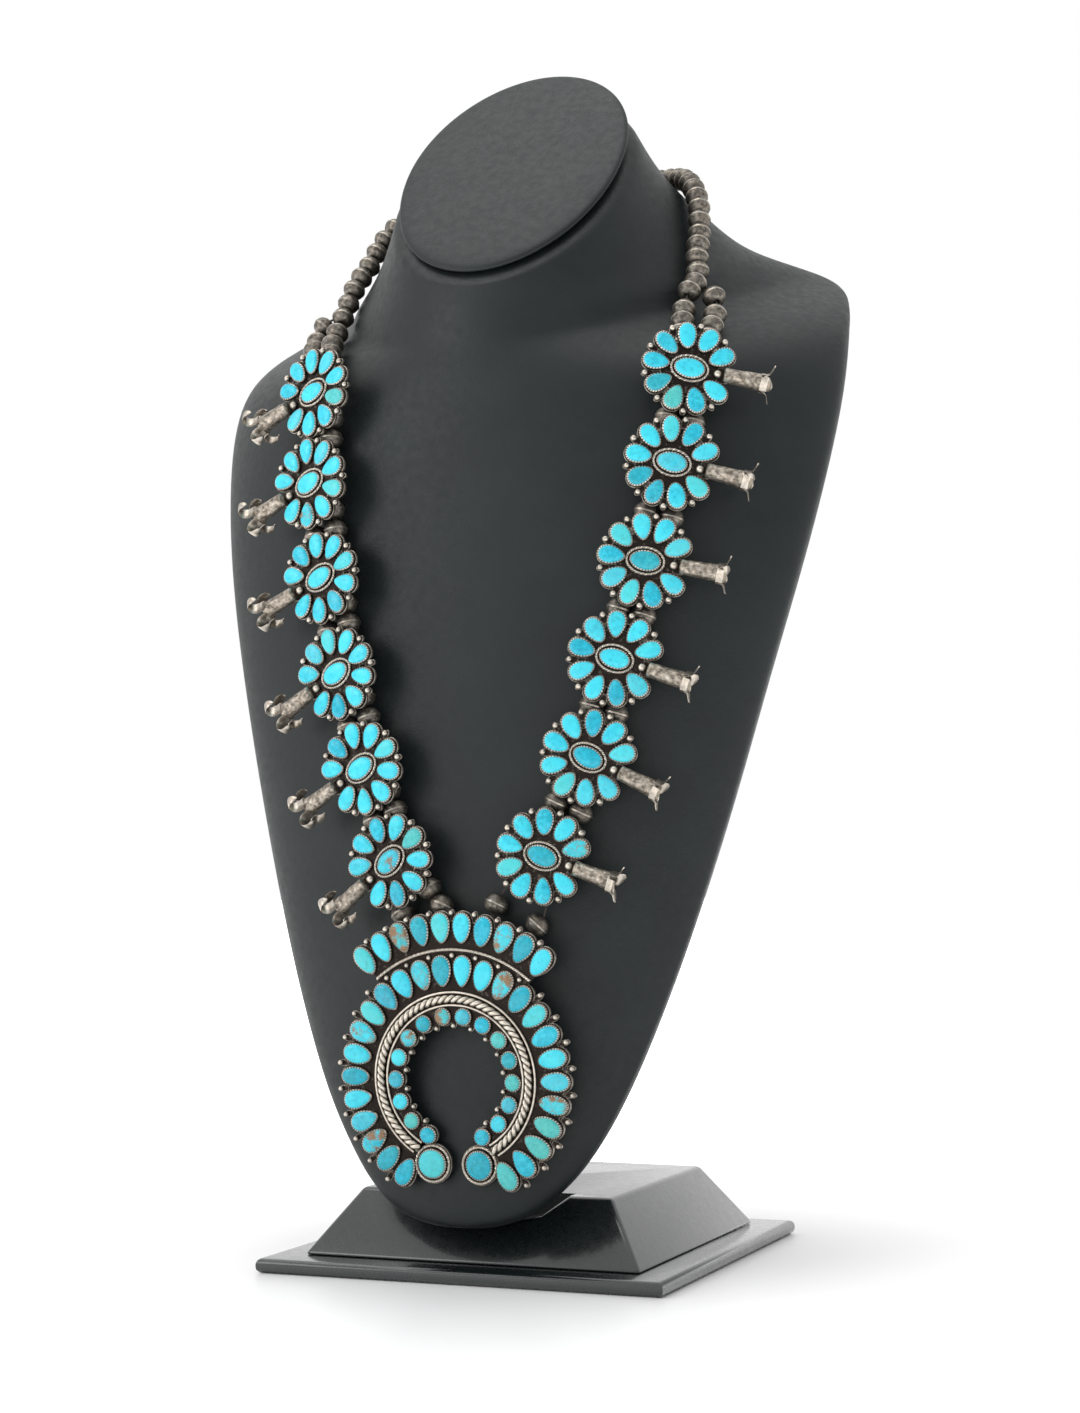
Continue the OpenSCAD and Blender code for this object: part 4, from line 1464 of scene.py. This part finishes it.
@dataclass
class Stand:
    """Bust, neck panel, plinth and slab, all wrapped in the same leatherette."""

    block_rounding: float = 1.5 * MM
    slab_rounding: float = 2.1 * MM
    edge_min: float = 10 * MM

    def skin(self, node: str, name: str, dress: Dressing, levels: int) -> Object:
        """Smooth skin over a frame node.

        Args:
            node: The frame node.
            name: The piece's name.
            dress: The finishes.
            levels: How often the surface is subdivided.

        Returns:
            The new object.
        """
        form = Form()
        form.take(node)
        bend = math.radians(60)
        bmesh.ops.join_triangles(form.bm, faces=form.bm.faces, angle_face_threshold=bend,
                                 angle_shape_threshold=bend, topology_influence=1.0)
        piece = Piece(name, Slot.LEATHERETTE, [node], dress.leatherette)
        piece.add(form, Matrix.Identity(4))
        obj = piece.finish(crease=180)
        smooth = obj.modifiers.new("smooth", "SUBSURF")
        smooth.levels = smooth.render_levels = levels
        return obj

    def wrapped(self, node: str, name: str, dress: Dressing, rounding: float) -> Object:
        """Board wrapped in leatherette, its edges rounded.

        Args:
            node: The frame node.
            name: The piece's name.
            dress: The finishes.
            rounding: How far its edges are rounded.

        Returns:
            The new object.
        """
        form = Form()
        form.take(node)
        bmesh.ops.dissolve_limit(form.bm, angle_limit=math.radians(2), verts=form.bm.verts,
                                 edges=form.bm.edges, use_dissolve_boundaries=False, delimit={"NORMAL"})
        form.bm.normal_update()
        rims = [e for e in form.bm.edges if e.is_convex and e.calc_face_angle(0) > math.radians(25)
                and e.calc_length() > self.edge_min]
        bmesh.ops.bevel(form.bm, geom=rims, offset=rounding, offset_type="OFFSET", affect="EDGES",
                        segments=4, profile=0.5, material=-1, clamp_overlap=True)
        piece = Piece(name, Slot.LEATHERETTE, [node], dress.smooth)
        piece.add(form, Matrix.Identity(4))
        return piece.finish(crease=40)

    def build(self, dress: Dressing) -> list[Object]:
        """Build the four pieces of the stand.

        Args:
            dress: The finishes.

        Returns:
            The bust, the neck panel, the plinth and the slab.
        """
        return [self.skin("bust", "bust_skin", dress, 2), self.skin("neck_cap", "neck_panel", dress, 2),
                self.wrapped("block", "plinth_wrap", dress, self.block_rounding),
                self.wrapped("slab", "slab_wrap", dress, self.slab_rounding)]


@dataclass
class Studio:
    """Camera at the photograph's angle, pale floor and soft light."""

    camera_at: tuple[float, float, float] = (0.36762, -0.8966, 0.15158)
    ahead: tuple[float, float, float] = (-0.37636, 0.92502, 0.0518)
    aside: tuple[float, float, float] = (0.9261, 0.3772, -0.00722)
    lens: float = 66.24
    floor_r: float = 6.0
    glow_from: float = 0.10
    glow_to: float = 0.60
    shade_from: float = 48.0
    shade_edge: tuple[float, float] = (0.35, 0.92)
    shade: float = 0.6

    def camera(self) -> None:
        """Create the camera."""
        data = bpy.data.cameras.new("camera")
        data.lens = self.lens
        data.clip_start, data.clip_end = 0.05, 50
        cam = bpy.data.objects.new("camera", data)
        ahead = Vector(self.ahead).normalized()
        aside = Vector(self.aside)
        aside = (aside - ahead * aside.dot(ahead)).normalized()
        cam.matrix_world = columns(aside, aside.cross(ahead), -ahead, Vector(self.camera_at))
        bpy.context.scene.collection.objects.link(cam)
        bpy.context.scene.camera = cam

    def floor(self) -> None:
        """Create the pale floor, which glows white further from the middle."""
        bm = bmesh.new()
        bmesh.ops.create_circle(bm, cap_ends=True, segments=96, radius=self.floor_r)
        mesh = bpy.data.meshes.new("floor")
        bm.to_mesh(mesh)
        bm.free()
        s = Shader("floor_white")
        away = s.node("ShaderNodeVectorMath", {0: s.place}, operation="LENGTH").outputs["Value"]
        far = s.remap(away, self.glow_from, self.glow_to)
        s.set(Base_Color=s.mix(s.noise(0.5, 2), (0.90, 0.90, 0.90), (0.93, 0.93, 0.93)), Roughness=0.35)
        # Emission brightens the floor further from the middle, up to white.
        s.set(Emission_Color=(1.0, 1.0, 1.0, 1.0), Emission_Strength=far)
        mesh.materials.append(s.material)
        obj = bpy.data.objects.new("floor", mesh)
        bpy.context.scene.collection.objects.link(obj)

    def surroundings(self) -> None:
        """White surroundings that fall off towards the front right."""
        world = bpy.data.worlds.new("studio")
        bpy.context.scene.world = world
        world.use_nodes = True
        tree = world.node_tree
        tree.nodes.clear()
        place = tree.nodes.new("ShaderNodeTexCoord")
        dot = tree.nodes.new("ShaderNodeVectorMath")
        dot.operation = "DOT_PRODUCT"
        a = math.radians(self.shade_from)
        dot.inputs[1].default_value = (math.sin(a), -math.cos(a), 0.0)
        fall = tree.nodes.new("ShaderNodeMapRange")
        fall.interpolation_type = "SMOOTHSTEP"
        names = ("From Min", "From Max", "To Min", "To Max")
        for name, value in zip(names, (*self.shade_edge, 1.0, self.shade)):
            fall.inputs[name].default_value = value
        path = tree.nodes.new("ShaderNodeLightPath")
        seen = tree.nodes.new("ShaderNodeMath")
        seen.operation = "MAXIMUM"
        light = tree.nodes.new("ShaderNodeBackground")
        light.inputs["Color"].default_value = (1, 1, 1, 1)
        out = tree.nodes.new("ShaderNodeOutputWorld")
        links = tree.links
        links.new(place.outputs["Generated"], dot.inputs[0])
        links.new(dot.outputs["Value"], fall.inputs["Value"])
        links.new(fall.outputs["Result"], seen.inputs[0])
        links.new(path.outputs["Is Camera Ray"], seen.inputs[1])
        links.new(seen.outputs[0], light.inputs["Strength"])
        links.new(light.outputs[0], out.inputs["Surface"])

    def lamp(self, name: str, place: Vector, aim: Vector, size: float, power: float) -> None:
        """Create one soft square light.

        Args:
            name: Its name.
            place: Where it stands.
            aim: What it points at.
            size: Side of its panel.
            power: Its power in watts.
        """
        data = bpy.data.lights.new(name, "AREA")
        data.energy, data.size = power, size
        lamp = bpy.data.objects.new(name, data)
        lamp.matrix_world = stand(place, place - aim, Vector((0, 0, 1)))
        bpy.context.scene.collection.objects.link(lamp)

    def build(self) -> None:
        """Set up the studio."""
        self.camera()
        self.floor()
        self.surroundings()
        middle = Vector((0, 0, 0.2))
        self.lamp("top", Vector((-0.3, -0.2, 1.8)), middle, 1.2, 8)
        self.lamp("front_left", Vector((-1.3, -1.5, 1.0)), middle, 1.0, 8)
        bpy.context.scene.view_settings.view_transform = "Standard"


# Kinds of stone, a letter of GEM_LETTERS each: petals in turn from the tube, then the middle one
BLOSSOM_GEMS = {
    "r1": "cccbbdgbcc", "r2": "cbpccdbcpc", "r3": "cccpbcpbcd",
    "r4": "ccccbccbcc", "r5": "ccbcccpccb", "r6": "xcbccpcbcd",
    "l1": "cccgccccbc", "l2": "cxcpcccccc", "l3": "ccbcpccbcc",
    "l4": "cbccccpccc", "l5": "ccccpccbcc", "l6": "cbccgcbccx",
}
NAJA_GEMS = {
    "crest": "cdxbcpdncp",
    "rim": "gbggxccbpdxccdxcbpxcdccxdb",
    "inner": "bcbgdgbbndxcbcgb",
    "tips": "dp",
}


def report(pieces: Iterable[Object]) -> None:
    """Log each finished piece and how many faces it has."""
    for piece in pieces:
        LOG.info("%s: %d faces", piece.name, len(piece.data.polygons))


def main() -> None:
    """Build every piece in order and report it."""
    logging.basicConfig(level=logging.INFO, format="%(message)s")
    Studio().build()
    boards = Leatherette("leatherette_smooth", depth=0.02 * MM, roughness=(0.22, 0.34), sheen=0.5, coat=0.9)
    tubes = Silver("silver_stamped", bare=(0.62, 0.56, 0.48), tarnish_and_shade=(0.13, 0.11, 0.09), stamp=0.16,
                   mottle=0.8, cloud=1.6 * MM, roughness=(0.48, 0.36))
    beads = Silver("silver_oxidised", bare=(0.42, 0.39, 0.34), tarnish_and_shade=(0.05, 0.045, 0.04), mottle=0.5,
                   roughness=(0.5, 0.33))
    dress = Dressing(
        leatherette=Leatherette().material(),
        smooth=boards.material(),
        silver=Silver("silver_worn_and_shaded").material(),
        stamped=tubes.material(),
        plain=Silver("silver_plain", bareness=0.75, mottle=0.6, roughness=(0.55, 0.36)).material(),
        bead=beads.material(),
        turquoise=Turquoise().material(),
        thread=Thread().material(),
    )
    report(Stand().build(dress))
    for side in Side:
        spots = [middle_of(f"stones_{side.value}{i}") for i in range(1, 7)]
        for i in range(6):
            ahead = spots[max(i - 1, 0)] - spots[min(i + 1, 5)]
            report(Blossom(side, i + 1, BLOSSOM_GEMS[f"{side.value}{i + 1}"], ahead).build(dress))
    report(Naja(NAJA_GEMS).build(dress))
    strings = BeadStrings()
    for node in [n for n in frame["nodes"] if n.startswith(("beads", "ring"))]:
        name = node.replace("beads", "beadwork").replace("ring", "join_bead")
        report([strings.build(node, name, dress)])
    for name, obj in frame["nodes"].items():
        if name.startswith(("thread", "clasp")):
            for slot in obj.material_slots:
                slot.material = dress.thread if name.startswith("thread") else dress.plain


if __name__ == "__main__":
    main()
